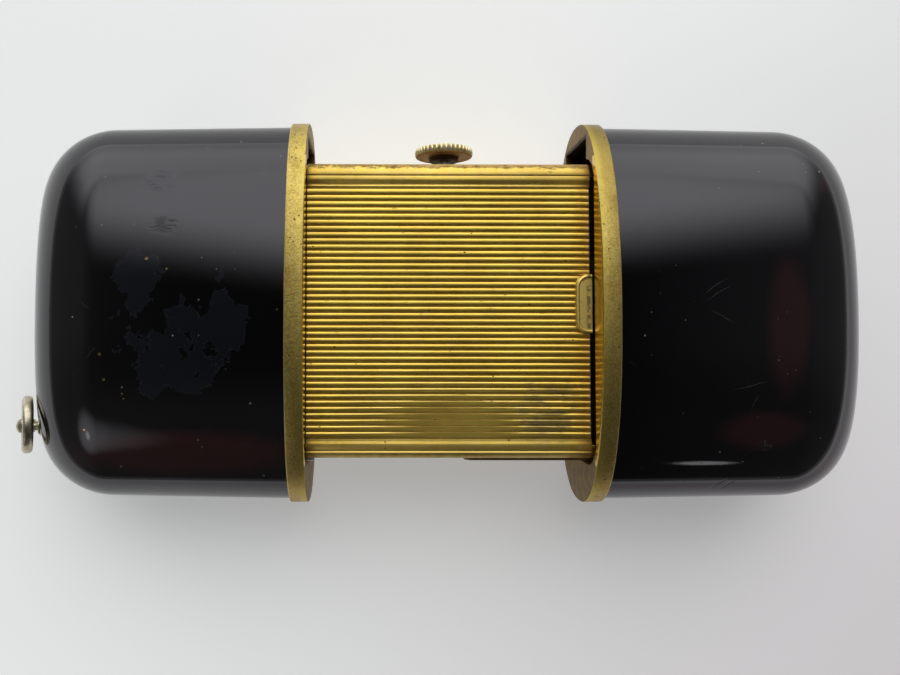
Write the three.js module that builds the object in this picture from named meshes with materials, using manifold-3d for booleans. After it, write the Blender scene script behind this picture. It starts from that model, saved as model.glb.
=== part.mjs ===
// A slide-open travel watch. Two black lacquered case halves run apart along X on slotted arms
// and uncover a small rectangular watch unit. The watch lies on its dial side: the ribbed stand
// flap is uppermost, the winding crown points to +Y, and a small chain ring stands at the left end.
// Millimetres, +Z up, table at Z = 0, +X towards the right-hand case half.

import * as THREE from 'three';
import { mergeVertices } from 'three/addons/utils/BufferGeometryUtils.js';
import Module from 'manifold-3d';

const wasm = await Module();
wasm.setup();

// Watch unit: outline, wall and the stack of layers from the crystal side to the flap
const UNIT_HALF_LENGTH = 17.0;
const UNIT_HALF_WIDTH = 12.07;
const UNIT_EDGE_BEVEL_WIDTH = 1.07;
const UNIT_EDGE_BEVEL_DEPTH = 0.7;
const UNIT_END_CHAMFER = 1.5;
const FRAME_RIM = 1.0;
const FRAME_LEDGE = 0.8;
const BEZEL_THICKNESS = 1.2;
const HAND_SPACE = 1.1;
const DIAL_THICKNESS = 0.4;
const PLATE_THICKNESS = 1.6;
const TRAIN_SPACE = 2.4;
const BRIDGE_THICKNESS = 0.9;
const WINDING_WHEEL_SPACE = 0.8;
const INNER_BACK_THICKNESS = 0.7;
const FLAP_SEAT_GAP = 0.15;
const FLAP_THICKNESS = 0.75;

// Window, crystal and dial
const WINDOW_HALF_LENGTH = 9.9;
const WINDOW_HALF_WIDTH = 9.2;
const WINDOW_CORNER = 1.6;
const CRYSTAL_LIP = 0.6;
const CRYSTAL_THICKNESS = 0.7;
const DIAL_MARGIN = 0.9;

// Stand flap, its hinge and its thumb tab
const FLAP_RIGHT_SETBACK = 0.375;
const HINGE_SETBACK = 0.275;
const HINGE_PIN_RADIUS = 0.28;
const HINGE_PIN_CLEARANCE = 0.1;
const HINGE_PIN_SETBACK = 0.4;
const KNUCKLE_GAP = 0.3;
const KNUCKLE_SHARE = 0.78;
const EAR_WIDTH = 0.8;
const EAR_UNDERCUT = 0.05;
const EAR_ARM_LENGTH = 1.6;
const EAR_ROOT_WIDTH = 1.0;
const RIB_PITCH = 0.51;
const RIB_DEPTH = 0.16;
const FLAP_FLAT_BAND = 0.8;
const TAB_LENGTH = 4.8;
const TAB_REACH = 1.15;
const TAB_RISE = 0.35;
const TAB_CENTRE_Y = 0.5;
const TAB_OVERHANG = 0.15;
const TAB_CORNER = 0.92;
const TAB_SUNK_DEPTH = 0.32;

// Crown, stem and tube
const CROWN_RADIUS = 2.55;
const CROWN_LENGTH = 0.77;
const CROWN_STANDOFF = 1.53;
const CROWN_FLUTES = 36;
const CROWN_FLUTE_DEPTH = 0.14;
const CROWN_HUB_RADIUS = 1.3;
const CROWN_HUB_LENGTH = 0.35;
const CROWN_BORE_DEPTH = 0.45;
const STEM_RADIUS = 0.45;
const STEM_CLEARANCE = 0.12;
const TUBE_WALL = 0.24;
const TUBE_LENGTH = 0.75;
const CROWN_ROOM = 0.9;

// Case halves: the travel, the room inside and the walls
const SLIDE_TRAVEL = 11.5;
const CLOSED_HALF_GAP = 0.175;
const END_ROOM = 5.2;
const END_WALL = 1.0;
const SHELL_WALL = 0.8;
const CAVITY_DEPTH_ROOM = 1.9;
const OVAL_POWER = 2.3;
const OVAL_SIDES = 40;
const END_ROUND_WIDTH = 6.75;
const END_ROUND_DEPTH = 6.6;
const END_ROUND_STEPS = 5;
const SHELL_TAPER = 0.25;
const BAND_PROUD = 0.3;
const BAND_LENGTH = 1.5;
const MOUTH_SIDE_GAP = 0.69;
const MOUTH_DEPTH_GAP = 0.6;
const MOUTH_CORNER = 2.6;
const NOTCH_CLEARANCE = 0.75;
const NOTCH_END_CLEARANCE = 0.24;

// Slotted guide arms and the pins that stop them. Both run along the unit's -Y side, the right-hand
// one above the left-hand one, so that they pass each other.
const ARM_THICKNESS = 0.38;
const ARM_SIDE_GAP = 0.14;
const ARM_TIP_X = 1.5;
const ARM_TIP_CHAMFER_SHARE = 0.22;
const ARM_SLOT_MARGIN = 0.9;
const ARM_ROOT_MARGIN = 1.0;
const STOP_PIN_RADIUS = 0.3;
const STOP_PIN_CLEARANCE = 0.15;
const STOP_PIN_GRIP = 0.9;
const STOP_PIN_SETBACK = 0.04;
const ARM_HEIGHT = 2.0;
const ARM_RISE = 0.3;
const ARM_LANE_GAP = 0.9;
const ARM_FOOT_THICKNESS = 0.4;
const ARM_FOOT_REACH = 1.5;
const ARM_SCREW_RADIUS = 0.22;
const ARM_SCREW_HEAD_RADIUS = 0.5;
const ARM_SCREW_GRIP = 0.9;
const SCREW_HEAD_HEIGHT = 0.35;
const SCREW_CLEARANCE = 0.12;

// Chain ring and its pierced post on the left end
const POST_EDGE_ROOM = 6.1;
const POST_SHANK_RADIUS = 0.4;
const POST_COLLAR_RADIUS = 0.85;
const POST_COLLAR_SEAT = 0.03;
const POST_COLLAR_HEIGHT = 0.22;
const POST_NECK_RADIUS = 0.42;
const POST_BALL_RADIUS = 0.85;
const POST_BALL_STANDOFF = 1.45;
const POST_HOLE_RADIUS = 0.65;
const RING_RADIUS = 2.05;
const RING_WIRE_RADIUS = 0.43;
const RING_ROLL = THREE.MathUtils.degToRad(9);
const RING_LEAN = THREE.MathUtils.degToRad(25);

// Movement: the plate outline, the wheel sizes and the running gaps
const PLATE_HALF_LENGTH = 12.2;
const PLATE_CORNER = 2.5;
const PLATE_MARGIN = 0.16;
const BARREL_X = -5.0;
const BARREL_Y = 3.0;
const BARREL_RADIUS = 4.85;
const BARREL_HEIGHT = 1.6;
const BARREL_ARBOR_RADIUS = 0.7;
const CENTRE_WHEEL_RADIUS = 3.4;
const CENTRE_PINION_RADIUS = 0.7;
const THIRD_WHEEL_RADIUS = 2.9;
const FOURTH_WHEEL_RADIUS = 2.6;
const ESCAPE_WHEEL_RADIUS = 1.9;
const PALLET_STANDOFF = 0.95;
const TRAIN_PINION_RADIUS = 0.5;
const TRAIN_ARBOR_RADIUS = 0.2;
const WHEEL_THICKNESS = 0.22;
const THICK_WHEEL_SHARE = 1.6;
const RUNNING_GAP = 0.12;
const MESH_GAP = 0.12;
const JOIN_LAP = 0.05;
const TOOTH_DEPTH = 0.2;
const FINE_TOOTH_DEPTH = 0.16;
const COARSE_TOOTH_DEPTH = 0.25;
const PINION_TOOTH_DEPTH = 0.14;
const THIRD_BEARING = THREE.MathUtils.degToRad(-20);
const FOURTH_BEARING = THREE.MathUtils.degToRad(-137);
const ESCAPE_BEARING = THREE.MathUtils.degToRad(-158);
const BALANCE_EDGE_ROOM = 5.7;
const BALANCE_Y = -4.6;
const BALANCE_RADIUS = 3.3;
const BALANCE_RIM = 0.5;
const BALANCE_ARM_HALF_WIDTH = 0.3;
const BALANCE_RIM_SHARE = 1.5;
const RATCHET_RADIUS = 3.5;
const CROWN_WHEEL_RADIUS = 2.1;
const CROWN_WHEEL_Y = 6.1;
const WINDING_PINION_RADIUS = 1.15;
const WINDING_PINION_LENGTH = 1.4;
const WINDING_PINION_SETBACK = 1.3;
const STEM_INNER_REACH = 0.6;
const STEM_BEARING_HALF_WIDTH = 1.3;
const STEM_BEARING_WALL = 0.3;
const STEM_BEARING_SINK = 0.2;
const CLICK_STANDOFF = 0.45;
const CLICK_WIDTH = 1.05;
const CLICK_TAIL = 1.6;
const CLICK_NOSE = 0.9;
const CLICK_SHOULDER = 0.6;
const HOUR_WHEEL_RADIUS = 2.5;
const MINUTE_WHEEL_RADIUS = 1.7;
const MINUTE_WHEEL_X = 3.1;
const MINUTE_WHEEL_Y = 1.5;
const MOTION_RECESS_DEPTH = 0.75;
const CENTRE_ARBOR_RADIUS = 0.35;
const HOUR_PIPE_WALL = 0.2;
const HAND_THICKNESS = 0.18;
const HAND_DIAL_GAP = 0.25;
const HAND_GAP = 0.15;
const HOUR_HAND_LENGTH = 5.2;
const HOUR_HAND_WIDTH = 0.8;
const HOUR_BOSS_RADIUS = 0.95;
const MINUTE_HAND_LENGTH = 7.8;
const MINUTE_HAND_WIDTH = 0.55;
const MINUTE_BOSS_RADIUS = 0.6;
const HAND_SHOULDER_SHARE = 0.72;
const HAND_TAIL_SHARE = 1.6;
const HAND_ROOT_SHARE = 0.3;
const COVER_SCREW_HEAD_RADIUS = 0.8;
const COVER_SCREW_RADIUS = 0.4;
const COVER_SCREW_GRIP = 1.6;
const COVER_SCREW_INSET = 0.3;
const COVER_SCREW_SPREAD = 0.62;

// Bridges, cock and pallet fork
const BRIDGE_SCREW_RADIUS = 0.3;
const BRIDGE_SCREW_HEAD_RADIUS = 0.6;
const BRIDGE_SCREW_GRIP = 0.54;
const BRIDGE_PILLAR_RADIUS = 0.9;
const BRIDGE_PILLAR_INSET = 1.1;
const BARREL_BRIDGE_RIGHT = 2.9;
const BARREL_BRIDGE_LOW = -0.9;
const BARREL_BRIDGE_END_MARGIN = 1.6;
const BARREL_BRIDGE_SIDE_MARGIN = 0.4;
const BARREL_BRIDGE_CORNER = 3.0;
const RIGHT_PILLAR_INSET = 0.6;
const RIGHT_PILLAR_RISE = 1.71;
const LEFT_PILLAR_SIDE_MARGIN = 3.1;
const TRAIN_BRIDGE_MARGIN = 1.0;
const TRAIN_BRIDGE_LOW_MARGIN = 1.2;
const TRAIN_BRIDGE_RIGHT_MARGIN = 2.0;
const TRAIN_BRIDGE_FOOT_LENGTH = 3.2;
const TRAIN_PILLAR_DROP = 1.6;
const TRAIN_BRIDGE_NECK = 0.6;
const TRAIN_BRIDGE_EDGE = 0.35;
const COCK_END_MARGIN = 0.6;
const COCK_HALF_WIDTH = 0.9;
const COCK_NOSE = 0.8;
const COCK_FOOT_GAP = 0.25;
const COCK_SCREW_INSET = 0.9;
const PALLET_DROP = 0.9;
const PALLET_HALF_WIDTH = 0.16;
const PALLET_UPPER_REACH = 1.7;
const PALLET_LOWER_REACH = 1.4;
const PALLET_STONE_LENGTH = 0.75;
const PALLET_STONE_WIDTH = 0.25;
const PALLET_STONE_SLOPE = 0.1;
const LEVER_LENGTH = 1.05;
const LEVER_RISE = 0.75;
const LEVER_WIDTH = 0.25;
const LEVER_ROOT_WIDTH = 0.35;
const PALLET_ARBOR_REACH = 0.7;

// Sizes that follow from those above
const UNIT_DEPTH = BEZEL_THICKNESS + HAND_SPACE + DIAL_THICKNESS + PLATE_THICKNESS + TRAIN_SPACE
  + BRIDGE_THICKNESS + WINDING_WHEEL_SPACE + INNER_BACK_THICKNESS + FLAP_SEAT_GAP + FLAP_THICKNESS;
const CAVITY_HALF_WIDTH = UNIT_HALF_WIDTH + CROWN_STANDOFF + CROWN_LENGTH + CROWN_ROOM;
const CAVITY_HALF_DEPTH = UNIT_DEPTH / 2 + CAVITY_DEPTH_ROOM;
const SHELL_HALF_WIDTH = CAVITY_HALF_WIDTH + SHELL_WALL;
const SHELL_HALF_DEPTH = CAVITY_HALF_DEPTH + SHELL_WALL;
const BAND_HALF_WIDTH = SHELL_HALF_WIDTH + BAND_PROUD;
const BAND_HALF_DEPTH = SHELL_HALF_DEPTH + BAND_PROUD;
const MID_Z = BAND_HALF_DEPTH;
const FRONT_Z = MID_Z - UNIT_DEPTH / 2;
const BEZEL_BACK_Z = FRONT_Z + BEZEL_THICKNESS;
const DIAL_FRONT_Z = BEZEL_BACK_Z + HAND_SPACE;
const PLATE_FRONT_Z = DIAL_FRONT_Z + DIAL_THICKNESS;
const PLATE_BACK_Z = PLATE_FRONT_Z + PLATE_THICKNESS;
const BRIDGE_FRONT_Z = PLATE_BACK_Z + TRAIN_SPACE;
const BRIDGE_BACK_Z = BRIDGE_FRONT_Z + BRIDGE_THICKNESS;
const INNER_BACK_FRONT_Z = BRIDGE_BACK_Z + WINDING_WHEEL_SPACE;
const INNER_BACK_Z = INNER_BACK_FRONT_Z + INNER_BACK_THICKNESS;
const FLAP_FRONT_Z = INNER_BACK_Z + FLAP_SEAT_GAP;
const BACK_Z = MID_Z + UNIT_DEPTH / 2;
const MOUTH_X = SLIDE_TRAVEL + CLOSED_HALF_GAP;
const SHELL_START_X = MOUTH_X + BAND_LENGTH;
const SHELL_END_X = MOUTH_X + UNIT_HALF_LENGTH + END_ROOM + END_WALL;
const MOUTH_HALF_WIDTH = UNIT_HALF_WIDTH + MOUTH_SIDE_GAP;
const MOUTH_HALF_DEPTH = UNIT_DEPTH / 2 + MOUTH_DEPTH_GAP;
const FRAME_INNER_HALF_LENGTH = UNIT_HALF_LENGTH - FRAME_RIM;
const FRAME_INNER_HALF_WIDTH = UNIT_HALF_WIDTH - FRAME_RIM;
const WELL_HALF_LENGTH = FRAME_INNER_HALF_LENGTH - FRAME_LEDGE;
const WELL_HALF_WIDTH = FRAME_INNER_HALF_WIDTH - FRAME_LEDGE;
const KNUCKLE_RADIUS = (FLAP_THICKNESS + FLAP_SEAT_GAP) * KNUCKLE_SHARE;
const EAR_RADIUS = KNUCKLE_RADIUS - EAR_UNDERCUT;
const HINGE_X = -(MOUTH_X - HINGE_SETBACK);
const HINGE_Z = BACK_Z - KNUCKLE_RADIUS;
const FLAP_RIGHT_X = MOUTH_X - FLAP_RIGHT_SETBACK;
const EAR_INNER_Y = UNIT_HALF_WIDTH - EAR_WIDTH;
const CROWN_INNER_Y = UNIT_HALF_WIDTH + CROWN_STANDOFF;
const CROWN_OUTER_Y = CROWN_INNER_Y + CROWN_LENGTH;
const TUBE_BORE_RADIUS = STEM_RADIUS + STEM_CLEARANCE;
const TUBE_RADIUS = TUBE_BORE_RADIUS + TUBE_WALL;
const ARM_INNER_Y = UNIT_HALF_WIDTH + ARM_SIDE_GAP;
const ARM_OUTER_Y = ARM_INNER_Y + ARM_THICKNESS;
const ARM_SLOT_HALF = STOP_PIN_RADIUS + STOP_PIN_CLEARANCE;
const ARM_SCREW_Y = ARM_OUTER_Y + ARM_FOOT_REACH / 2;
const ARM_SCREW_HOLE = ARM_SCREW_RADIUS + SCREW_CLEARANCE;
const RIGHT_ARM_MIDDLE = MID_Z + ARM_RISE + ARM_HEIGHT / 2;
const LEFT_ARM_MIDDLE = RIGHT_ARM_MIDDLE - ARM_HEIGHT - ARM_LANE_GAP;
const STOP_PIN_X = ARM_TIP_X + ARM_SLOT_MARGIN + ARM_SLOT_HALF;
const ARM_ROOT_X = STOP_PIN_X + SLIDE_TRAVEL + ARM_SLOT_HALF + ARM_ROOT_MARGIN;
const POST_HOLE_X = -(SHELL_END_X + POST_BALL_STANDOFF);
const POST_Y = -(SHELL_HALF_WIDTH - POST_EDGE_ROOM);
const PLATE_HALF_WIDTH = WELL_HALF_WIDTH - PLATE_MARGIN;
const BALANCE_X = -(PLATE_HALF_LENGTH - BALANCE_EDGE_ROOM);
const THICK_WHEEL = WHEEL_THICKNESS * THICK_WHEEL_SHARE;
const PINION_OUTER_Y = WELL_HALF_WIDTH - WINDING_PINION_SETBACK;
const PINION_INNER_Y = PINION_OUTER_Y - WINDING_PINION_LENGTH;
const STEM_INNER_Y = PINION_INNER_Y - STEM_INNER_REACH;
const STEM_OUTER_Y = CROWN_INNER_Y + CROWN_BORE_DEPTH - RUNNING_GAP;
const HOUR_PIPE_BORE = CENTRE_ARBOR_RADIUS + RUNNING_GAP;
const HOUR_PIPE_RADIUS = HOUR_PIPE_BORE + HOUR_PIPE_WALL;
const HOUR_HAND_Z = DIAL_FRONT_Z - HAND_DIAL_GAP - HAND_THICKNESS;
const MINUTE_HAND_Z = HOUR_HAND_Z - HAND_GAP - HAND_THICKNESS;
const WINDING_WHEEL_Z = BRIDGE_BACK_Z + RUNNING_GAP;
const ARBOR_FOOT_Z = PLATE_BACK_Z + RUNNING_GAP;
const ARBOR_TOP_Z = BRIDGE_FRONT_Z - RUNNING_GAP;
const POST_REACH = POST_HOLE_X - POST_BALL_RADIUS;

// Going train: each wheel stands where its pinion just clears the wheel before it
const THIRD = turnedFrom([0, 0], CENTRE_WHEEL_RADIUS + TRAIN_PINION_RADIUS + MESH_GAP, THIRD_BEARING);
const FOURTH = turnedFrom(THIRD, THIRD_WHEEL_RADIUS + TRAIN_PINION_RADIUS + MESH_GAP, FOURTH_BEARING);
const ESCAPE = turnedFrom(FOURTH, FOURTH_WHEEL_RADIUS + TRAIN_PINION_RADIUS + MESH_GAP, ESCAPE_BEARING);
const CENTRE_WHEEL_Z = ARBOR_TOP_Z - WHEEL_THICKNESS;
const THIRD_WHEEL_Z = CENTRE_WHEEL_Z - WHEEL_THICKNESS - RUNNING_GAP * 2;
const FOURTH_WHEEL_Z = THIRD_WHEEL_Z - WHEEL_THICKNESS - RUNNING_GAP * 2;
const ESCAPE_WHEEL_Z = FOURTH_WHEEL_Z - WHEEL_THICKNESS - RUNNING_GAP * 2;

// Places of the bridges' pillars and screws
const BARREL_BRIDGE_LEFT = -PLATE_HALF_LENGTH + BARREL_BRIDGE_END_MARGIN;
const BARREL_PILLARS = [
  [BARREL_BRIDGE_LEFT + BRIDGE_PILLAR_INSET, PLATE_HALF_WIDTH - LEFT_PILLAR_SIDE_MARGIN],
  [BARREL_BRIDGE_RIGHT - RIGHT_PILLAR_INSET, CROWN_WHEEL_Y + RIGHT_PILLAR_RISE],
];
const TRAIN_BRIDGE_RIGHT = THIRD[0] + TRAIN_BRIDGE_RIGHT_MARGIN + TRAIN_BRIDGE_FOOT_LENGTH;
const TRAIN_PILLAR = [TRAIN_BRIDGE_RIGHT - BRIDGE_PILLAR_INSET, THIRD[1] - TRAIN_PILLAR_DROP];
const COCK_SCREW = [-PLATE_HALF_LENGTH + COCK_END_MARGIN + COCK_SCREW_INSET, BALANCE_Y];

// The origin lies under the middle of the whole object, ring post included
const ORIGIN_SHIFT_X = -(POST_REACH + SHELL_END_X) / 2;

// Finishes, one material object for each piece
const FINISHES = {
  lacquer: { color: 0x0b0a0d, roughness: 0.18, metalness: 0.0 },
  caseBrass: { color: 0x9a7f43, roughness: 0.45, metalness: 1.0 },
  gilt: { color: 0xc99a2e, roughness: 0.22, metalness: 1.0 },
  paleGold: { color: 0xc8b985, roughness: 0.3, metalness: 1.0 },
  steel: { color: 0x9fa3a8, roughness: 0.3, metalness: 1.0 },
  blueSteel: { color: 0x1d2a55, roughness: 0.3, metalness: 1.0 },
  nickel: { color: 0xb9b6ac, roughness: 0.35, metalness: 1.0 },
  dial: { color: 0xd9cfb4, roughness: 0.6, metalness: 0.1 },
  glass: { color: 0xe8eef0, roughness: 0.05, metalness: 0.0 },
};

const AXIS_X = new THREE.Vector3(1, 0, 0);
const AXIS_Y = new THREE.Vector3(0, 1, 0);
const AXIS_Z = new THREE.Vector3(0, 0, 1);

// Boolean helpers
function toSolid(geometry) {
  const bare = geometry.clone();
  bare.deleteAttribute('normal');
  bare.deleteAttribute('uv');
  const merged = mergeVertices(bare, 1e-5);
  return new wasm.Manifold(new wasm.Mesh({
    numProp: 3,
    vertProperties: new Float32Array(merged.attributes.position.array),
    triVerts: new Uint32Array(merged.index.array),
  }));
}

function fromSolid(body) {
  const mesh = body.getMesh();
  const geometry = new THREE.BufferGeometry();
  const positions = new Float32Array(mesh.vertProperties);
  geometry.setAttribute('position', new THREE.BufferAttribute(positions, 3));
  geometry.setIndex(new THREE.BufferAttribute(new Uint32Array(mesh.triVerts), 1));
  geometry.computeVertexNormals();
  return geometry;
}

function cut(geometry, ...tools) {
  return fromSolid(tools.reduce((body, tool) => body.subtract(toSolid(tool)), toSolid(geometry)));
}

function join(geometry, ...others) {
  return fromSolid(others.reduce((body, other) => body.add(toSolid(other)), toSolid(geometry)));
}

function within(geometry, limit) {
  return fromSolid(toSolid(geometry).intersect(toSolid(limit)));
}

// Outline and solid helpers. Points are [a, b] pairs in the plane square to the extrusion.
function circle(radius, sides = 16, x = 0, y = 0) {
  const points = [];
  for (let i = 0; i < sides; i += 1) {
    const turn = ((i + 0.5) / sides) * Math.PI * 2;
    points.push([x + radius * Math.cos(turn), y + radius * Math.sin(turn)]);
  }
  return points;
}

function rectangle(x0, x1, y0, y1) {
  return [[x0, y0], [x1, y0], [x1, y1], [x0, y1]];
}

function roundedRectangle(halfX, halfY, corner, steps = 4) {
  const points = [];
  const centres = [[1, 1], [-1, 1], [-1, -1], [1, -1]];
  centres.forEach(([sx, sy], quarter) => {
    for (let i = 0; i <= steps; i += 1) {
      const turn = (quarter + i / steps) * (Math.PI / 2);
      points.push([
        sx * (halfX - corner) + corner * Math.cos(turn),
        sy * (halfY - corner) + corner * Math.sin(turn),
      ]);
    }
  });
  return points;
}

function ovalSection(halfY, halfZ) {
  const half = Math.PI / OVAL_SIDES;
  const bulge = (value) => {
    const flat = Math.min(1, Math.abs(value) / Math.cos(half));
    return Math.sign(value) * flat ** (2 / OVAL_POWER);
  };
  const points = [];
  for (let i = 0; i < OVAL_SIDES; i += 1) {
    const turn = (2 * i + 1) * half;
    points.push([halfY * bulge(Math.cos(turn)), MID_Z + halfZ * bulge(Math.sin(turn))]);
  }
  return points;
}

function gearOutline(teeth, tipRadius, toothDepth, x = 0, y = 0) {
  const points = [];
  for (let i = 0; i < teeth * 2; i += 1) {
    const turn = (i / teeth) * Math.PI;
    const radius = i % 2 === 0 ? tipRadius : tipRadius - toothDepth;
    points.push([x + radius * Math.cos(turn), y + radius * Math.sin(turn)]);
  }
  return points;
}

function flatShape(points, holes = []) {
  const shape = new THREE.Shape(points.map(([a, b]) => new THREE.Vector2(a, b)));
  shape.holes = holes.map((hole) => new THREE.Path(hole.map(([a, b]) => new THREE.Vector2(a, b))));
  return shape;
}

function slab(points, length, holes) {
  return new THREE.ExtrudeGeometry(flatShape(points, holes), { depth: length, bevelEnabled: false });
}

function alongZ(points, z0, z1, holes = []) {
  return slab(points, z1 - z0, holes).translate(0, 0, z0);
}

// The outline's pairs are (Y, Z) and the solid runs along X
function alongX(points, x0, x1, holes = []) {
  const place = new THREE.Matrix4().makeBasis(AXIS_Y, AXIS_Z, AXIS_X);
  return slab(points, x1 - x0, holes).applyMatrix4(place).translate(x0, 0, 0);
}

// The outline's pairs are (X, Z) and the solid runs along Y
function alongY(points, y0, y1, holes = []) {
  const place = new THREE.Matrix4().makeBasis(AXIS_X, AXIS_Z, AXIS_Y.clone().negate());
  return slab(points, y1 - y0, holes).applyMatrix4(place).translate(0, y1, 0);
}

function block(x0, x1, y0, y1, z0, z1) {
  const geometry = new THREE.BoxGeometry(x1 - x0, y1 - y0, z1 - z0);
  return geometry.translate((x0 + x1) / 2, (y0 + y1) / 2, (z0 + z1) / 2);
}

function rodZ(radius, x, y, z0, z1, sides = 12) {
  return alongZ(circle(radius, sides, x, y), z0, z1);
}

function turnedFrom([x, y], distance, bearing) {
  return [x + distance * Math.cos(bearing), y + distance * Math.sin(bearing)];
}

// Turns a geometry left for right, keeping its faces outward
function mirroredX(geometry) {
  const flipped = geometry.index ? geometry.toNonIndexed() : geometry.clone();
  const position = flipped.attributes.position;
  for (let i = 0; i < position.count; i += 3) {
    const corner = [0, 2, 1].map((j) => new THREE.Vector3().fromBufferAttribute(position, i + j));
    corner.forEach((point, j) => position.setXYZ(i + j, -point.x, point.y, point.z));
  }
  flipped.computeVertexNormals();
  return flipped;
}

// The same solid on the other side in Y
function mirroredY(geometry) {
  const turned = mirroredX(geometry.clone().rotateZ(Math.PI / 2));
  return turned.rotateZ(-Math.PI / 2);
}

// Closed skin through rings of equal count, each given as [x, [[y, z], ...]]
function loftAlongX(rings) {
  const count = rings[0][1].length;
  const positions = [];
  rings.forEach(([x, points]) => points.forEach(([y, z]) => positions.push(x, y, z)));
  const faces = [];
  for (let r = 0; r + 1 < rings.length; r += 1) {
    for (let i = 0; i < count; i += 1) {
      const a = r * count + i;
      const b = r * count + ((i + 1) % count);
      faces.push(a, b, b + count, a, b + count, a + count);
    }
  }
  const first = positions.length / 3;
  positions.push(rings[0][0], 0, MID_Z);
  positions.push(rings[rings.length - 1][0], 0, MID_Z);
  const start = (rings.length - 1) * count;
  for (let i = 0; i < count; i += 1) {
    const next = (i + 1) % count;
    faces.push(first, next, i);
    faces.push(first + 1, start + i, start + next);
  }
  const geometry = new THREE.BufferGeometry();
  geometry.setAttribute('position', new THREE.Float32BufferAttribute(positions, 3));
  geometry.setIndex(faces);
  return geometry;
}

// Oval box that runs from the mouth to a rounded end. Width and depth are rounded by their own radii.
function roundedOvalBox(startX, endX, halfY, halfZ, roundWidth, roundDepth, taper) {
  const roundStart = endX - roundWidth;
  const rings = [[startX, ovalSection(halfY, halfZ)]];
  for (let i = 0; i <= END_ROUND_STEPS; i += 1) {
    const turn = (i / END_ROUND_STEPS) * (Math.PI / 2);
    const inset = 1 - Math.cos(turn);
    rings.push([
      roundStart + roundWidth * Math.sin(turn),
      ovalSection(halfY - taper - roundWidth * inset, halfZ - taper - roundDepth * inset),
    ]);
  }
  return loftAlongX(rings);
}

// Case half on the right. Its cavity follows the outside at one wall thickness.
function shellSkin() {
  const outer = roundedOvalBox(
    SHELL_START_X, SHELL_END_X, SHELL_HALF_WIDTH, SHELL_HALF_DEPTH,
    END_ROUND_WIDTH, END_ROUND_DEPTH, SHELL_TAPER,
  );
  const cavity = roundedOvalBox(
    SHELL_START_X - END_WALL, SHELL_END_X - END_WALL, CAVITY_HALF_WIDTH, CAVITY_HALF_DEPTH,
    END_ROUND_WIDTH - END_WALL, END_ROUND_DEPTH - END_WALL, SHELL_TAPER,
  );
  return cut(outer, cavity);
}

function leftShell() {
  const shankHole = alongX(
    circle(POST_SHANK_RADIUS + SCREW_CLEARANCE, 12, POST_Y, MID_Z),
    SHELL_END_X - END_ROUND_WIDTH,
    SHELL_END_X + 1,
  );
  return mirroredX(cut(shellSkin(), shankHole));
}

// Mouth opening: the unit's section with its gaps, and a notch that lets the crown in
function mouthOpening() {
  const outline = roundedRectangle(MOUTH_HALF_WIDTH, MOUTH_HALF_DEPTH, MOUTH_CORNER);
  return alongX(outline.map(([y, z]) => [y, z + MID_Z]), MOUTH_X - 1, SHELL_START_X + 1);
}

function crownNotch() {
  const halfDepth = CROWN_RADIUS + NOTCH_CLEARANCE;
  const outerY = CROWN_OUTER_Y + NOTCH_END_CLEARANCE;
  return block(
    MOUTH_X - 1, SHELL_START_X + 1, MOUTH_HALF_WIDTH - FRAME_RIM, outerY,
    MID_Z - halfDepth, MID_Z + halfDepth,
  );
}

function mouthBand(screwHole) {
  const outline = ovalSection(BAND_HALF_WIDTH, BAND_HALF_DEPTH);
  return cut(alongX(outline, MOUTH_X, SHELL_START_X), mouthOpening(), crownNotch(), screwHole);
}

// Guide arm of the right-hand half: a slotted strip beside the unit and a foot behind the mouth band.
// The left-hand arm is its mirror image, one lane lower.
function guideArm(middle) {
  const low = middle - ARM_HEIGHT / 2;
  const high = middle + ARM_HEIGHT / 2;
  const tip = ARM_HEIGHT * ARM_TIP_CHAMFER_SHARE;
  const outline = [
    [ARM_TIP_X, low + tip], [ARM_TIP_X + tip, low], [ARM_ROOT_X, low],
    [ARM_ROOT_X, high], [ARM_TIP_X + tip, high], [ARM_TIP_X, high - tip],
  ];
  const slotLow = middle - ARM_SLOT_HALF;
  const slotHigh = middle + ARM_SLOT_HALF;
  const slot = rectangle(
    STOP_PIN_X - ARM_SLOT_HALF, STOP_PIN_X + SLIDE_TRAVEL + ARM_SLOT_HALF, slotLow, slotHigh,
  );
  const strip = alongY(outline, -ARM_OUTER_Y, -ARM_INNER_Y, [slot]);
  const footX = SHELL_START_X + ARM_FOOT_THICKNESS;
  const footY = -(ARM_INNER_Y + ARM_OUTER_Y) / 2;
  const foot = block(SHELL_START_X, footX, -ARM_OUTER_Y - ARM_FOOT_REACH, footY, low, high);
  const slotPath = block(SHELL_START_X - 1, footX + 1, -ARM_OUTER_Y, footY + 1, slotLow, slotHigh);
  return cut(join(strip, cut(foot, slotPath)), armScrewHole(middle));
}

function armScrewHole(z) {
  return alongX(
    circle(ARM_SCREW_HOLE, 10, -ARM_SCREW_Y, z),
    SHELL_START_X - ARM_SCREW_GRIP - SCREW_CLEARANCE,
    SHELL_START_X + ARM_FOOT_THICKNESS + 1,
  );
}

function armScrew(z) {
  const headX = SHELL_START_X + ARM_FOOT_THICKNESS;
  const shankOutline = circle(ARM_SCREW_RADIUS, 10, -ARM_SCREW_Y, z);
  const headOutline = circle(ARM_SCREW_HEAD_RADIUS, 12, -ARM_SCREW_Y, z);
  return join(
    alongX(shankOutline, SHELL_START_X - ARM_SCREW_GRIP, headX),
    alongX(headOutline, headX, headX + SCREW_HEAD_HEIGHT),
  );
}

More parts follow.
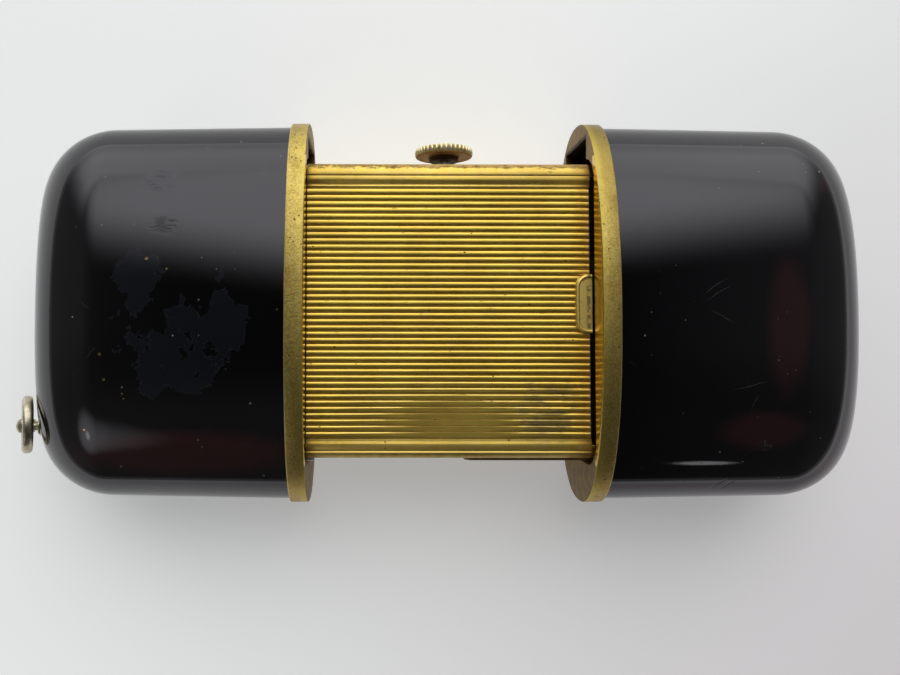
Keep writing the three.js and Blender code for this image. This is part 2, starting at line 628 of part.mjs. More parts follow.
// Pierced post: collar, neck and ball on a shank through the shell's end
function bailPost() {
  const ballCentre = POST_BALL_STANDOFF;
  const profile = [
    [0, -END_WALL - SCREW_CLEARANCE],
    [POST_SHANK_RADIUS, -END_WALL - SCREW_CLEARANCE],
    [POST_SHANK_RADIUS, POST_COLLAR_SEAT],
    [POST_COLLAR_RADIUS, POST_COLLAR_SEAT],
    [POST_COLLAR_RADIUS, POST_COLLAR_HEIGHT],
    [POST_NECK_RADIUS, POST_COLLAR_HEIGHT],
  ];
  const neckTurn = Math.asin(POST_NECK_RADIUS / POST_BALL_RADIUS);
  const steps = 6;
  for (let i = 0; i <= steps; i += 1) {
    const turn = Math.PI - neckTurn - (i / steps) * (Math.PI - neckTurn);
    profile.push([
      POST_BALL_RADIUS * Math.sin(turn),
      ballCentre + POST_BALL_RADIUS * Math.cos(turn),
    ]);
  }
  profile[profile.length - 1][0] = 0;
  const points = profile.map(([radius, height]) => new THREE.Vector2(radius, height));
  const body = new THREE.LatheGeometry(points, 14).rotateZ(Math.PI / 2);
  body.translate(-SHELL_END_X, POST_Y, MID_Z);
  const hole = alongY(
    circle(POST_HOLE_RADIUS, 14, POST_HOLE_X, MID_Z),
    POST_Y - POST_BALL_RADIUS * 2,
    POST_Y + POST_BALL_RADIUS * 2,
  );
  return cut(body, hole);
}

// Chain ring standing up in the post's hole, leaning back towards the case's shoulder
function bailRing() {
  const ring = new THREE.TorusGeometry(RING_RADIUS, RING_WIRE_RADIUS, 8, 24).rotateY(Math.PI / 2);
  ring.translate(0, RING_RADIUS * Math.sin(RING_ROLL), RING_RADIUS * Math.cos(RING_ROLL));
  return ring.rotateY(RING_LEAN).translate(POST_HOLE_X, POST_Y, MID_Z);
}

// Watch unit
function unitSection(halfWidth, front, back, frontBevel, backBevel) {
  const low = frontBevel ? UNIT_EDGE_BEVEL_DEPTH : 0;
  const high = backBevel ? UNIT_EDGE_BEVEL_DEPTH : 0;
  const lowInset = frontBevel ? UNIT_EDGE_BEVEL_WIDTH : 0;
  const highInset = backBevel ? UNIT_EDGE_BEVEL_WIDTH : 0;
  const right = [[halfWidth - lowInset, front], [halfWidth, front + low]];
  if (low === 0) {
    right.shift();
  }
  right.push([halfWidth, back - high]);
  if (high > 0) {
    right.push([halfWidth - highInset, back]);
  }
  const left = right.map(([y, z]) => [-y, z]).reverse();
  return [...right, ...left];
}

function endChamfers(z0, z1) {
  const tools = [];
  const length = UNIT_HALF_LENGTH;
  const width = UNIT_HALF_WIDTH;
  [[1, 1], [1, -1], [-1, 1], [-1, -1]].forEach(([sx, sy]) => {
    const corner = [
      [sx * (length + 1), sy * (width + 1)],
      [sx * (length + 1), sy * (width - UNIT_END_CHAMFER - 1)],
      [sx * (length - UNIT_END_CHAMFER - 1), sy * (width + 1)],
    ];
    tools.push(alongZ(corner, z0 - 1, z1 + 1));
  });
  return tools;
}

function frontBezel() {
  const body = alongX(
    unitSection(UNIT_HALF_WIDTH, FRONT_Z, BEZEL_BACK_Z, true, false),
    -UNIT_HALF_LENGTH,
    UNIT_HALF_LENGTH,
  );
  const window = alongZ(
    roundedRectangle(WINDOW_HALF_LENGTH, WINDOW_HALF_WIDTH, WINDOW_CORNER),
    FRONT_Z - 1,
    BEZEL_BACK_Z + 1,
  );
  const seat = alongZ(
    roundedRectangle(
      WINDOW_HALF_LENGTH + CRYSTAL_LIP, WINDOW_HALF_WIDTH + CRYSTAL_LIP, WINDOW_CORNER + CRYSTAL_LIP,
    ),
    BEZEL_BACK_Z - CRYSTAL_THICKNESS,
    BEZEL_BACK_Z + 1,
  );
  return cut(body, window, seat, ...endChamfers(FRONT_Z, BEZEL_BACK_Z));
}

function crystal() {
  const lip = CRYSTAL_LIP - RUNNING_GAP;
  return alongZ(
    roundedRectangle(WINDOW_HALF_LENGTH + lip, WINDOW_HALF_WIDTH + lip, WINDOW_CORNER + lip),
    BEZEL_BACK_Z - CRYSTAL_THICKNESS,
    BEZEL_BACK_Z - RUNNING_GAP,
  );
}

function unitFrame() {
  const body = block(
    -UNIT_HALF_LENGTH, UNIT_HALF_LENGTH, -UNIT_HALF_WIDTH, UNIT_HALF_WIDTH, BEZEL_BACK_Z, INNER_BACK_Z,
  );
  const well = block(
    -WELL_HALF_LENGTH, WELL_HALF_LENGTH, -WELL_HALF_WIDTH, WELL_HALF_WIDTH,
    BEZEL_BACK_Z - 1, INNER_BACK_Z + 1,
  );
  const rebate = block(
    -FRAME_INNER_HALF_LENGTH, FRAME_INNER_HALF_LENGTH, -FRAME_INNER_HALF_WIDTH, FRAME_INNER_HALF_WIDTH,
    INNER_BACK_FRONT_Z, INNER_BACK_Z + 1,
  );
  const tubeHole = alongY(circle(TUBE_RADIUS + RUNNING_GAP, 14, 0, MID_Z), 0, UNIT_HALF_WIDTH + 1);
  const tools = [well, rebate, tubeHole, ...endChamfers(BEZEL_BACK_Z, INNER_BACK_Z)];
  [-1, 1].forEach((side) => {
    const y0 = side < 0 ? -UNIT_HALF_WIDTH - 1 : EAR_INNER_Y - KNUCKLE_GAP;
    const y1 = side < 0 ? -EAR_INNER_Y + KNUCKLE_GAP : UNIT_HALF_WIDTH + 1;
    tools.push(block(
      HINGE_X - EAR_RADIUS - KNUCKLE_GAP, HINGE_X + EAR_RADIUS + KNUCKLE_GAP, y0, y1,
      HINGE_Z - EAR_RADIUS - KNUCKLE_GAP, INNER_BACK_Z + 1,
    ));
  });
  coverScrewPlaces().forEach(([x, y]) => tools.push(coverScrewHole(x, y)));
  tools.push(stopPinHole(STOP_PIN_X, RIGHT_ARM_MIDDLE), stopPinHole(-STOP_PIN_X, LEFT_ARM_MIDDLE));
  return cut(body, ...tools);
}

// Screws that hold the inner back and the hinge bracket to the frame's ledge
function coverScrewPlaces() {
  const x = WELL_HALF_LENGTH + FRAME_LEDGE / 2 - COVER_SCREW_INSET;
  const y = FRAME_INNER_HALF_WIDTH * COVER_SCREW_SPREAD;
  return [[-x, -y], [-x, y], [x, -y], [x, y]];
}

function coverScrewHole(x, y) {
  const bottom = INNER_BACK_FRONT_Z - COVER_SCREW_GRIP - SCREW_CLEARANCE;
  return rodZ(COVER_SCREW_RADIUS + SCREW_CLEARANCE, x, y, bottom, BACK_Z + 1);
}

function coverScrew(x, y) {
  const shank = rodZ(COVER_SCREW_RADIUS, x, y, INNER_BACK_FRONT_Z - COVER_SCREW_GRIP, INNER_BACK_Z);
  const head = rodZ(COVER_SCREW_HEAD_RADIUS, x, y, INNER_BACK_Z, INNER_BACK_Z + SCREW_HEAD_HEIGHT);
  return join(shank, head);
}

function stopPinHole(x, z) {
  const hole = circle(STOP_PIN_RADIUS + SCREW_CLEARANCE, 10, x, z);
  return alongY(hole, -UNIT_HALF_WIDTH - 1, -UNIT_HALF_WIDTH + STOP_PIN_GRIP + SCREW_CLEARANCE);
}

function stopPin(x, z) {
  const pin = circle(STOP_PIN_RADIUS, 10, x, z);
  return alongY(pin, -ARM_OUTER_Y + STOP_PIN_SETBACK, -UNIT_HALF_WIDTH + STOP_PIN_GRIP);
}

function dial() {
  const halfWidth = Math.min(WINDOW_HALF_WIDTH + DIAL_MARGIN, PLATE_HALF_WIDTH);
  const points = roundedRectangle(WINDOW_HALF_LENGTH + DIAL_MARGIN, halfWidth, WINDOW_CORNER);
  const holes = [circle(HOUR_PIPE_RADIUS + RUNNING_GAP, 14)];
  return alongZ(points, DIAL_FRONT_Z, PLATE_FRONT_Z, holes);
}

// Inner back: the dust cover under the flap, cut back where the flap's knuckle turns
function innerBack() {
  const leftX = HINGE_X + KNUCKLE_RADIUS + KNUCKLE_GAP;
  const rightX = FRAME_INNER_HALF_LENGTH - RUNNING_GAP;
  const halfWidth = FRAME_INNER_HALF_WIDTH - RUNNING_GAP;
  const body = block(leftX, rightX, -halfWidth, halfWidth, INNER_BACK_FRONT_Z, INNER_BACK_Z);
  const holes = coverScrewPlaces().filter(([x]) => x > 0).map(([x, y]) => coverScrewHole(x, y));
  return cut(body, ...holes);
}

// Hinge bracket: a plate left of the flap with an ear at each side that holds the hinge pin
function hingeBracket() {
  const plateRight = HINGE_X - KNUCKLE_RADIUS - KNUCKLE_GAP;
  const plateLeft = -FRAME_INNER_HALF_LENGTH + RUNNING_GAP;
  const halfWidth = FRAME_INNER_HALF_WIDTH - RUNNING_GAP;
  const plate = block(plateLeft, plateRight, -halfWidth, halfWidth, INNER_BACK_FRONT_Z, INNER_BACK_Z);
  const ear = hingeEar(plateRight, halfWidth);
  const bevelled = alongX(
    unitSection(UNIT_HALF_WIDTH, FRONT_Z, BACK_Z, false, true), -UNIT_HALF_LENGTH, UNIT_HALF_LENGTH,
  );
  const pinHole = alongY(
    circle(HINGE_PIN_RADIUS + HINGE_PIN_CLEARANCE, 14, HINGE_X, HINGE_Z),
    -UNIT_HALF_WIDTH - 1,
    UNIT_HALF_WIDTH + 1,
  );
  const holes = coverScrewPlaces().filter(([x]) => x < 0).map(([x, y]) => coverScrewHole(x, y));
  return cut(within(join(plate, ear, mirroredY(ear)), bevelled), pinHole, ...holes);
}

// One ear on the +Y side: a root on the plate, an arm above the frame's side and a round eye
function hingeEar(plateRight, plateHalfWidth) {
  const armLeft = plateRight - EAR_ARM_LENGTH;
  const outerY = UNIT_HALF_WIDTH - EAR_UNDERCUT;
  const eye = alongY(circle(EAR_RADIUS, 16, HINGE_X, HINGE_Z), EAR_INNER_Y, outerY);
  const arm = block(armLeft, HINGE_X, EAR_INNER_Y, outerY, INNER_BACK_Z, HINGE_Z + EAR_RADIUS);
  const rootY = plateHalfWidth - EAR_ROOT_WIDTH;
  const rootTop = INNER_BACK_Z + EAR_RADIUS / 2;
  const rootLow = block(armLeft, plateRight, rootY, plateHalfWidth, INNER_BACK_Z - RUNNING_GAP, rootTop);
  const rootHigh = block(armLeft, plateRight, rootY, outerY, INNER_BACK_Z, rootTop);
  return join(arm, eye, rootLow, rootHigh);
}

function hingePin() {
  const reach = UNIT_HALF_WIDTH - HINGE_PIN_SETBACK;
  return alongY(circle(HINGE_PIN_RADIUS, 12, HINGE_X, HINGE_Z), -reach, reach);
}

// Ribbed back of the flap as (Y, Z) pairs: bevelled edges, a plain band, then the reeding
function flapSection() {
  const bevelY = UNIT_HALF_WIDTH - UNIT_EDGE_BEVEL_WIDTH;
  const ribbedHalf = bevelY - FLAP_FLAT_BAND;
  const count = Math.floor((2 * ribbedHalf) / RIB_PITCH);
  const startY = (count * RIB_PITCH) / 2;
  const points = [
    [UNIT_HALF_WIDTH, FLAP_FRONT_Z],
    [UNIT_HALF_WIDTH, BACK_Z - UNIT_EDGE_BEVEL_DEPTH],
    [bevelY, BACK_Z],
  ];
  for (let i = 0; i < count; i += 1) {
    const y = startY - i * RIB_PITCH;
    points.push([y, BACK_Z - RIB_DEPTH]);
    points.push([y - RIB_PITCH * 0.25, BACK_Z]);
    points.push([y - RIB_PITCH * 0.75, BACK_Z]);
  }
  points.push([-startY, BACK_Z - RIB_DEPTH]);
  points.push([-bevelY, BACK_Z]);
  points.push([-UNIT_HALF_WIDTH, BACK_Z - UNIT_EDGE_BEVEL_DEPTH]);
  points.push([-UNIT_HALF_WIDTH, FLAP_FRONT_Z]);
  return points;
}

// Thumb tab: a low D-shaped lip at the flap's free edge
function thumbTab() {
  const edgeX = FLAP_RIGHT_X + TAB_OVERHANG;
  const half = TAB_LENGTH / 2;
  const round = Math.min(TAB_CORNER, half / 2);
  const outline = [[edgeX, TAB_CENTRE_Y - half], [edgeX, TAB_CENTRE_Y + half]];
  const steps = 6;
  [1, -1].forEach((side, corner) => {
    for (let i = 0; i <= steps; i += 1) {
      const turn = (corner + 1 + i / steps) * (Math.PI / 2);
      outline.push([
        edgeX - TAB_REACH + round + round * Math.cos(turn),
        TAB_CENTRE_Y + side * (half - round) + round * Math.sin(turn),
      ]);
    }
  });
  return alongZ(outline, BACK_Z - TAB_SUNK_DEPTH, BACK_Z + TAB_RISE);
}

function standFlap() {
  const earFreeX = HINGE_X + EAR_RADIUS + KNUCKLE_GAP;
  const knuckleHalf = EAR_INNER_Y - KNUCKLE_GAP;
  const plate = cut(
    alongX(flapSection(), HINGE_X, FLAP_RIGHT_X),
    block(HINGE_X - 1, earFreeX, knuckleHalf, UNIT_HALF_WIDTH + 1, 0, BACK_Z + 1),
    block(HINGE_X - 1, earFreeX, -UNIT_HALF_WIDTH - 1, -knuckleHalf, 0, BACK_Z + 1),
  );
  const knuckle = alongY(circle(KNUCKLE_RADIUS, 20, HINGE_X, HINGE_Z), -knuckleHalf, knuckleHalf);
  const pinHole = alongY(
    circle(HINGE_PIN_RADIUS + HINGE_PIN_CLEARANCE, 14, HINGE_X, HINGE_Z),
    -UNIT_HALF_WIDTH,
    UNIT_HALF_WIDTH,
  );
  return cut(join(plate, knuckle, thumbTab()), pinHole);
}

// Winding crown, stem and tube, all about the line X = 0, Z = MID_Z
function crown() {
  const outline = [];
  for (let i = 0; i < CROWN_FLUTES * 2; i += 1) {
    const turn = ((i + 0.5) / CROWN_FLUTES) * Math.PI;
    const radius = i % 2 === 0 ? CROWN_RADIUS : CROWN_RADIUS - CROWN_FLUTE_DEPTH;
    outline.push([radius * Math.cos(turn), MID_Z + radius * Math.sin(turn)]);
  }
  const hubY = CROWN_INNER_Y - CROWN_HUB_LENGTH;
  const wheel = alongY(outline, CROWN_INNER_Y, CROWN_OUTER_Y);
  const hub = alongY(circle(CROWN_HUB_RADIUS, 16, 0, MID_Z), hubY, CROWN_INNER_Y + JOIN_LAP);
  const bore = alongY(circle(TUBE_BORE_RADIUS, 12, 0, MID_Z), hubY - 1, CROWN_INNER_Y + CROWN_BORE_DEPTH);
  return cut(join(wheel, hub), bore);
}

function stem() {
  return alongY(circle(STEM_RADIUS, 12, 0, MID_Z), STEM_INNER_Y, STEM_OUTER_Y);
}

function windingPinion() {
  const outline = gearOutline(12, WINDING_PINION_RADIUS, TOOTH_DEPTH, 0, MID_Z);
  return alongY(outline, PINION_INNER_Y, PINION_OUTER_Y, [circle(TUBE_BORE_RADIUS, 12, 0, MID_Z)]);
}

function crownTube() {
  const ring = circle(TUBE_RADIUS, 14, 0, MID_Z);
  const bore = circle(TUBE_BORE_RADIUS, 14, 0, MID_Z);
  return alongY(ring, WELL_HALF_WIDTH, UNIT_HALF_WIDTH + TUBE_LENGTH, [bore]);
}

// Movement
function mainplate() {
  const outline = roundedRectangle(PLATE_HALF_LENGTH, PLATE_HALF_WIDTH, PLATE_CORNER);
  const plate = alongZ(outline, PLATE_FRONT_Z, PLATE_BACK_Z);
  const bearing = block(
    -STEM_BEARING_HALF_WIDTH, STEM_BEARING_HALF_WIDTH, PINION_OUTER_Y + RUNNING_GAP, PLATE_HALF_WIDTH,
    PLATE_BACK_Z - STEM_BEARING_SINK, MID_Z + TUBE_RADIUS + STEM_BEARING_WALL,
  );
  const pinionRoom = block(
    -WINDING_PINION_RADIUS - RUNNING_GAP, WINDING_PINION_RADIUS + RUNNING_GAP,
    STEM_INNER_Y - RUNNING_GAP, PINION_OUTER_Y + RUNNING_GAP,
    MID_Z - WINDING_PINION_RADIUS - RUNNING_GAP, PLATE_BACK_Z + 1,
  );
  const stemHole = alongY(circle(TUBE_BORE_RADIUS, 12, 0, MID_Z), STEM_INNER_Y, UNIT_HALF_WIDTH);
  const centreHole = rodZ(HOUR_PIPE_BORE, 0, 0, PLATE_FRONT_Z - 1, PLATE_BACK_Z + 1);
  const recessTop = PLATE_FRONT_Z + MOTION_RECESS_DEPTH;
  const hourRoom = rodZ(HOUR_WHEEL_RADIUS + RUNNING_GAP, 0, 0, PLATE_FRONT_Z - 1, recessTop, 20);
  const minuteRoom = rodZ(
    MINUTE_WHEEL_RADIUS + RUNNING_GAP, MINUTE_WHEEL_X, MINUTE_WHEEL_Y, PLATE_FRONT_Z - 1, recessTop, 16,
  );
  return cut(join(plate, bearing), pinionRoom, stemHole, centreHole, hourRoom, minuteRoom);
}

function barrel() {
  const outline = gearOutline(48, BARREL_RADIUS, COARSE_TOOTH_DEPTH, BARREL_X, BARREL_Y);
  const bore = circle(BARREL_ARBOR_RADIUS + RUNNING_GAP, 12, BARREL_X, BARREL_Y);
  return alongZ(outline, ARBOR_FOOT_Z, ARBOR_FOOT_Z + BARREL_HEIGHT, [bore]);
}

// Ratchet wheel in one piece with the barrel arbor that it winds
function ratchetWheel() {
  const outline = gearOutline(36, RATCHET_RADIUS, COARSE_TOOTH_DEPTH, BARREL_X, BARREL_Y);
  const wheel = alongZ(outline, WINDING_WHEEL_Z, WINDING_WHEEL_Z + THICK_WHEEL);
  const arborTop = WINDING_WHEEL_Z + WHEEL_THICKNESS;
  const arbor = rodZ(BARREL_ARBOR_RADIUS, BARREL_X, BARREL_Y, ARBOR_FOOT_Z, arborTop);
  return join(wheel, arbor);
}

function crownWheel() {
  const outline = gearOutline(24, CROWN_WHEEL_RADIUS, COARSE_TOOTH_DEPTH, 0, CROWN_WHEEL_Y);
  return alongZ(outline, WINDING_WHEEL_Z, WINDING_WHEEL_Z + THICK_WHEEL);
}

// Click: the pawl beside the ratchet wheel
function click() {
  const right = BARREL_X - RATCHET_RADIUS - CLICK_STANDOFF;
  const left = right - CLICK_WIDTH;
  const outline = [
    [left, BARREL_Y - CLICK_TAIL], [right, BARREL_Y - CLICK_TAIL],
    [right, BARREL_Y + CLICK_SHOULDER], [(left + right) / 2, BARREL_Y + CLICK_NOSE],
  ];
  return alongZ(outline, BRIDGE_BACK_Z, BRIDGE_BACK_Z + THICK_WHEEL);
}

function barrelBridge() {
  const left = BARREL_BRIDGE_LEFT;
  const top = PLATE_HALF_WIDTH - BARREL_BRIDGE_SIDE_MARGIN;
  const outline = [
    [left, BARREL_BRIDGE_LOW], [BARREL_BRIDGE_RIGHT, BARREL_BRIDGE_LOW], [BARREL_BRIDGE_RIGHT, top],
    [left + BARREL_BRIDGE_CORNER, top], [left, top - BARREL_BRIDGE_CORNER],
  ];
  const plate = alongZ(outline, BRIDGE_FRONT_Z, BRIDGE_BACK_Z);
  const pillars = BARREL_PILLARS.map(([x, y]) => bridgePillar(x, y));
  const arborHole = rodZ(
    BARREL_ARBOR_RADIUS + RUNNING_GAP, BARREL_X, BARREL_Y, BRIDGE_FRONT_Z - 1, BRIDGE_BACK_Z + 1,
  );
  const screwHoles = BARREL_PILLARS.map(([x, y]) => bridgeScrewHole(x, y));
  return cut(join(plate, ...pillars), arborHole, ...screwHoles);
}

function bridgePillar(x, y) {
  return rodZ(BRIDGE_PILLAR_RADIUS, x, y, PLATE_BACK_Z, BRIDGE_FRONT_Z + JOIN_LAP);
}

function bridgeScrewHole(x, y) {
  const bottom = BRIDGE_BACK_Z - BRIDGE_SCREW_GRIP - SCREW_CLEARANCE;
  return rodZ(BRIDGE_SCREW_RADIUS + SCREW_CLEARANCE, x, y, bottom, BRIDGE_BACK_Z + 1, 10);
}

function bridgeScrew(x, y) {
  const shank = rodZ(BRIDGE_SCREW_RADIUS, x, y, BRIDGE_BACK_Z - BRIDGE_SCREW_GRIP, BRIDGE_BACK_Z, 10);
  const head = rodZ(BRIDGE_SCREW_HEAD_RADIUS, x, y, BRIDGE_BACK_Z, BRIDGE_BACK_Z + SCREW_HEAD_HEIGHT, 10);
  return join(shank, head);
}

// Wheel with its arbor between plate and bridge, and a pinion that reaches up beside the last wheel
function trainWheel([x, y], teeth, radius, wheelZ, pinionLeaves, pinionTop) {
  const wheel = alongZ(gearOutline(teeth, radius, TOOTH_DEPTH, x, y), wheelZ, wheelZ + WHEEL_THICKNESS);
  const arbor = rodZ(TRAIN_ARBOR_RADIUS, x, y, ARBOR_FOOT_Z, ARBOR_TOP_Z, 8);
  const leaves = gearOutline(pinionLeaves, TRAIN_PINION_RADIUS, PINION_TOOTH_DEPTH, x, y);
  return join(wheel, arbor, alongZ(leaves, wheelZ + JOIN_LAP, pinionTop));
}

function centreWheel() {
  const outline = gearOutline(48, CENTRE_WHEEL_RADIUS, TOOTH_DEPTH);
  const wheel = alongZ(outline, CENTRE_WHEEL_Z, CENTRE_WHEEL_Z + WHEEL_THICKNESS);
  const leaves = gearOutline(8, CENTRE_PINION_RADIUS, TOOTH_DEPTH);
  const pinion = alongZ(leaves, ARBOR_FOOT_Z, CENTRE_WHEEL_Z + JOIN_LAP);
  const arborFoot = MINUTE_HAND_Z + HAND_THICKNESS;
  const arbor = rodZ(CENTRE_ARBOR_RADIUS, 0, 0, arborFoot, ARBOR_FOOT_Z + JOIN_LAP);
  return join(wheel, pinion, arbor);
}

function hourWheel() {
  const wheelZ = PLATE_FRONT_Z + MOTION_RECESS_DEPTH - RUNNING_GAP - WHEEL_THICKNESS;
  const bore = [circle(HOUR_PIPE_BORE, 14)];
  const outline = gearOutline(32, HOUR_WHEEL_RADIUS, FINE_TOOTH_DEPTH);
  const wheel = alongZ(outline, wheelZ, wheelZ + WHEEL_THICKNESS, bore);
  const pipeFoot = HOUR_HAND_Z + HAND_THICKNESS;
  const pipe = alongZ(circle(HOUR_PIPE_RADIUS, 14), pipeFoot, wheelZ + JOIN_LAP, bore);
  return join(wheel, pipe);
}

function minuteWheel() {
  const wheelZ = PLATE_FRONT_Z + RUNNING_GAP;
  const outline = gearOutline(24, MINUTE_WHEEL_RADIUS, FINE_TOOTH_DEPTH, MINUTE_WHEEL_X, MINUTE_WHEEL_Y);
  return alongZ(outline, wheelZ, wheelZ + WHEEL_THICKNESS);
}

// Hand: a boss and a tapered blade that points to +Y
function hand(length, bossRadius, width, z, bore) {
  const boss = alongZ(circle(bossRadius, 16), z, z + HAND_THICKNESS);
  const root = width * HAND_ROOT_SHARE;
  const tail = -bossRadius * HAND_TAIL_SHARE;
  const shoulder = length * HAND_SHOULDER_SHARE;
  const outline = [
    [-root, tail], [root, tail], [width / 2, shoulder], [0, length], [-width / 2, shoulder],
  ];
  const body = join(boss, alongZ(outline, z, z + HAND_THICKNESS));
  return bore > 0 ? cut(body, rodZ(bore, 0, 0, z - 1, z + 1)) : body;
}

// Pallet fork: a bar with a stone at each end that faces the escape wheel, and a lever to the balance
function palletFork() {
  const z = ESCAPE_WHEEL_Z;
  const px = ESCAPE[0] - (ESCAPE_WHEEL_RADIUS + PALLET_STANDOFF);
  const py = ESCAPE[1] - PALLET_DROP;
  const top = py + PALLET_UPPER_REACH;
  const bottom = py - PALLET_LOWER_REACH;
  const stoneX = px + PALLET_STONE_LENGTH;
  const upperLow = top - PALLET_STONE_SLOPE - PALLET_STONE_WIDTH;
  const lowerHigh = bottom + PALLET_STONE_WIDTH;
  const leverX = px - LEVER_LENGTH;
  const leverY = py + LEVER_RISE;
  const outlines = [
    rectangle(px - PALLET_HALF_WIDTH, px + PALLET_HALF_WIDTH, bottom, top),
    [[px, upperLow], [stoneX, upperLow], [stoneX, top - PALLET_STONE_SLOPE], [px, top]],
    [[px, bottom], [stoneX, bottom], [stoneX, lowerHigh], [px, lowerHigh + PALLET_STONE_SLOPE]],
    [[px, py - LEVER_ROOT_WIDTH / 2], [px, py + LEVER_ROOT_WIDTH / 2],
      [leverX + PALLET_HALF_WIDTH, leverY], [leverX, leverY - LEVER_WIDTH]],
  ];
  const arbor = rodZ(TRAIN_ARBOR_RADIUS, px, py, ARBOR_FOOT_Z, z + PALLET_ARBOR_REACH, 8);
  return join(arbor, ...outlines.map((outline) => alongZ(outline, z, z + WHEEL_THICKNESS)));
}

function balanceWheel() {
  const height = WHEEL_THICKNESS * BALANCE_RIM_SHARE;
  const z = ARBOR_TOP_Z - height;
  const inside = circle(BALANCE_RADIUS - BALANCE_RIM, 28, BALANCE_X, BALANCE_Y);
  const rim = alongZ(circle(BALANCE_RADIUS, 28, BALANCE_X, BALANCE_Y), z, z + height, [inside]);
  const reach = BALANCE_RADIUS - BALANCE_RIM / 2;
  const arm = block(
    BALANCE_X - reach, BALANCE_X + reach,
    BALANCE_Y - BALANCE_ARM_HALF_WIDTH, BALANCE_Y + BALANCE_ARM_HALF_WIDTH,
    z + JOIN_LAP, z + WHEEL_THICKNESS,
  );
  const staff = rodZ(TRAIN_ARBOR_RADIUS, BALANCE_X, BALANCE_Y, ARBOR_FOOT_Z, ARBOR_TOP_Z, 8);
  return join(rim, arm, staff);
}

// Cock over the balance: a finger that stands on a foot at the plate's edge
function balanceCock() {
  const left = -PLATE_HALF_LENGTH + COCK_END_MARGIN;
  const low = BALANCE_Y - COCK_HALF_WIDTH;
  const high = BALANCE_Y + COCK_HALF_WIDTH;
  const outline = [
    [left, low], [BALANCE_X, BALANCE_Y - COCK_NOSE], [BALANCE_X + COCK_NOSE, BALANCE_Y],
    [BALANCE_X, BALANCE_Y + COCK_NOSE], [left, high],
  ];
  const finger = alongZ(outline, BRIDGE_FRONT_Z, BRIDGE_BACK_Z);
  const footRight = BALANCE_X - BALANCE_RADIUS - COCK_FOOT_GAP;
  const foot = block(left, footRight, low, high, PLATE_BACK_Z, BRIDGE_FRONT_Z + JOIN_LAP);
  return cut(join(finger, foot), bridgeScrewHole(...COCK_SCREW));
}

function trainBridge() {
  const left = ESCAPE[0] - TRAIN_BRIDGE_MARGIN;
  const low = ESCAPE[1] - TRAIN_BRIDGE_LOW_MARGIN;
  const outline = [
    [left, low], [TRAIN_BRIDGE_RIGHT - TRAIN_BRIDGE_FOOT_LENGTH, low],
    [TRAIN_BRIDGE_RIGHT, ESCAPE[1] + TRAIN_BRIDGE_LOW_MARGIN],
    [TRAIN_BRIDGE_RIGHT, THIRD[1] + TRAIN_BRIDGE_MARGIN],
    [THIRD[0] - TRAIN_BRIDGE_NECK, THIRD[1] + TRAIN_BRIDGE_EDGE],
    [left, ESCAPE[1] + TRAIN_BRIDGE_MARGIN],
  ];
  const plate = alongZ(outline, BRIDGE_FRONT_Z, BRIDGE_BACK_Z);
  return cut(join(plate, bridgePillar(...TRAIN_PILLAR)), bridgeScrewHole(...TRAIN_PILLAR));
}

// Scene: every piece is its own named mesh, moved by one group so the origin is central
const watch = new THREE.Group();
watch.position.x = ORIGIN_SHIFT_X;

function add(name, geometry, finish) {
  const mesh = new THREE.Mesh(geometry, new THREE.MeshStandardMaterial(FINISHES[finish]));
  mesh.name = name;
  watch.add(mesh);
}

add('right_shell', shellSkin(), 'lacquer');
add('right_mouth_band', mouthBand(armScrewHole(RIGHT_ARM_MIDDLE)), 'caseBrass');
add('right_guide_arm', guideArm(RIGHT_ARM_MIDDLE), 'caseBrass');
add('right_arm_screw', armScrew(RIGHT_ARM_MIDDLE), 'steel');

add('left_shell', leftShell(), 'lacquer');
add('left_mouth_band', mirroredX(mouthBand(armScrewHole(LEFT_ARM_MIDDLE))), 'caseBrass');
add('left_guide_arm', mirroredX(guideArm(LEFT_ARM_MIDDLE)), 'caseBrass');
add('left_arm_screw', mirroredX(armScrew(LEFT_ARM_MIDDLE)), 'steel');
add('bail_post', bailPost(), 'paleGold');
add('bail_ring', bailRing(), 'paleGold');

add('unit_frame', unitFrame(), 'gilt');
add('front_bezel', frontBezel(), 'gilt');
add('crystal', crystal(), 'glass');
add('dial', dial(), 'dial');
add('inner_back', innerBack(), 'nickel');
add('hinge_bracket', hingeBracket(), 'gilt');
add('hinge_pin', hingePin(), 'steel');
add('stand_flap', standFlap(), 'gilt');
coverScrewPlaces().forEach(([x, y], i) => add(`cover_screw_${i + 1}`, coverScrew(x, y), 'steel'));
add('right_stop_pin', stopPin(STOP_PIN_X, RIGHT_ARM_MIDDLE), 'steel');
add('left_stop_pin', stopPin(-STOP_PIN_X, LEFT_ARM_MIDDLE), 'steel');

add('crown_tube', crownTube(), 'gilt');
add('stem', stem(), 'steel');
add('crown', crown(), 'gilt');
add('winding_pinion', windingPinion(), 'steel');
add('crown_wheel', crownWheel(), 'steel');
add('ratchet_wheel', ratchetWheel(), 'steel');
add('click', click(), 'steel');

add('mainplate', mainplate(), 'nickel');
add('barrel', barrel(), 'gilt');
add('barrel_bridge', barrelBridge(), 'nickel');
add('train_bridge', trainBridge(), 'nickel');
add('balance_cock', balanceCock(), 'nickel');
BARREL_PILLARS.forEach(([x, y], i) => add(`bridge_screw_${i + 1}`, bridgeScrew(x, y), 'blueSteel'));
add('train_bridge_screw', bridgeScrew(...TRAIN_PILLAR), 'blueSteel');
add('cock_screw', bridgeScrew(...COCK_SCREW), 'blueSteel');

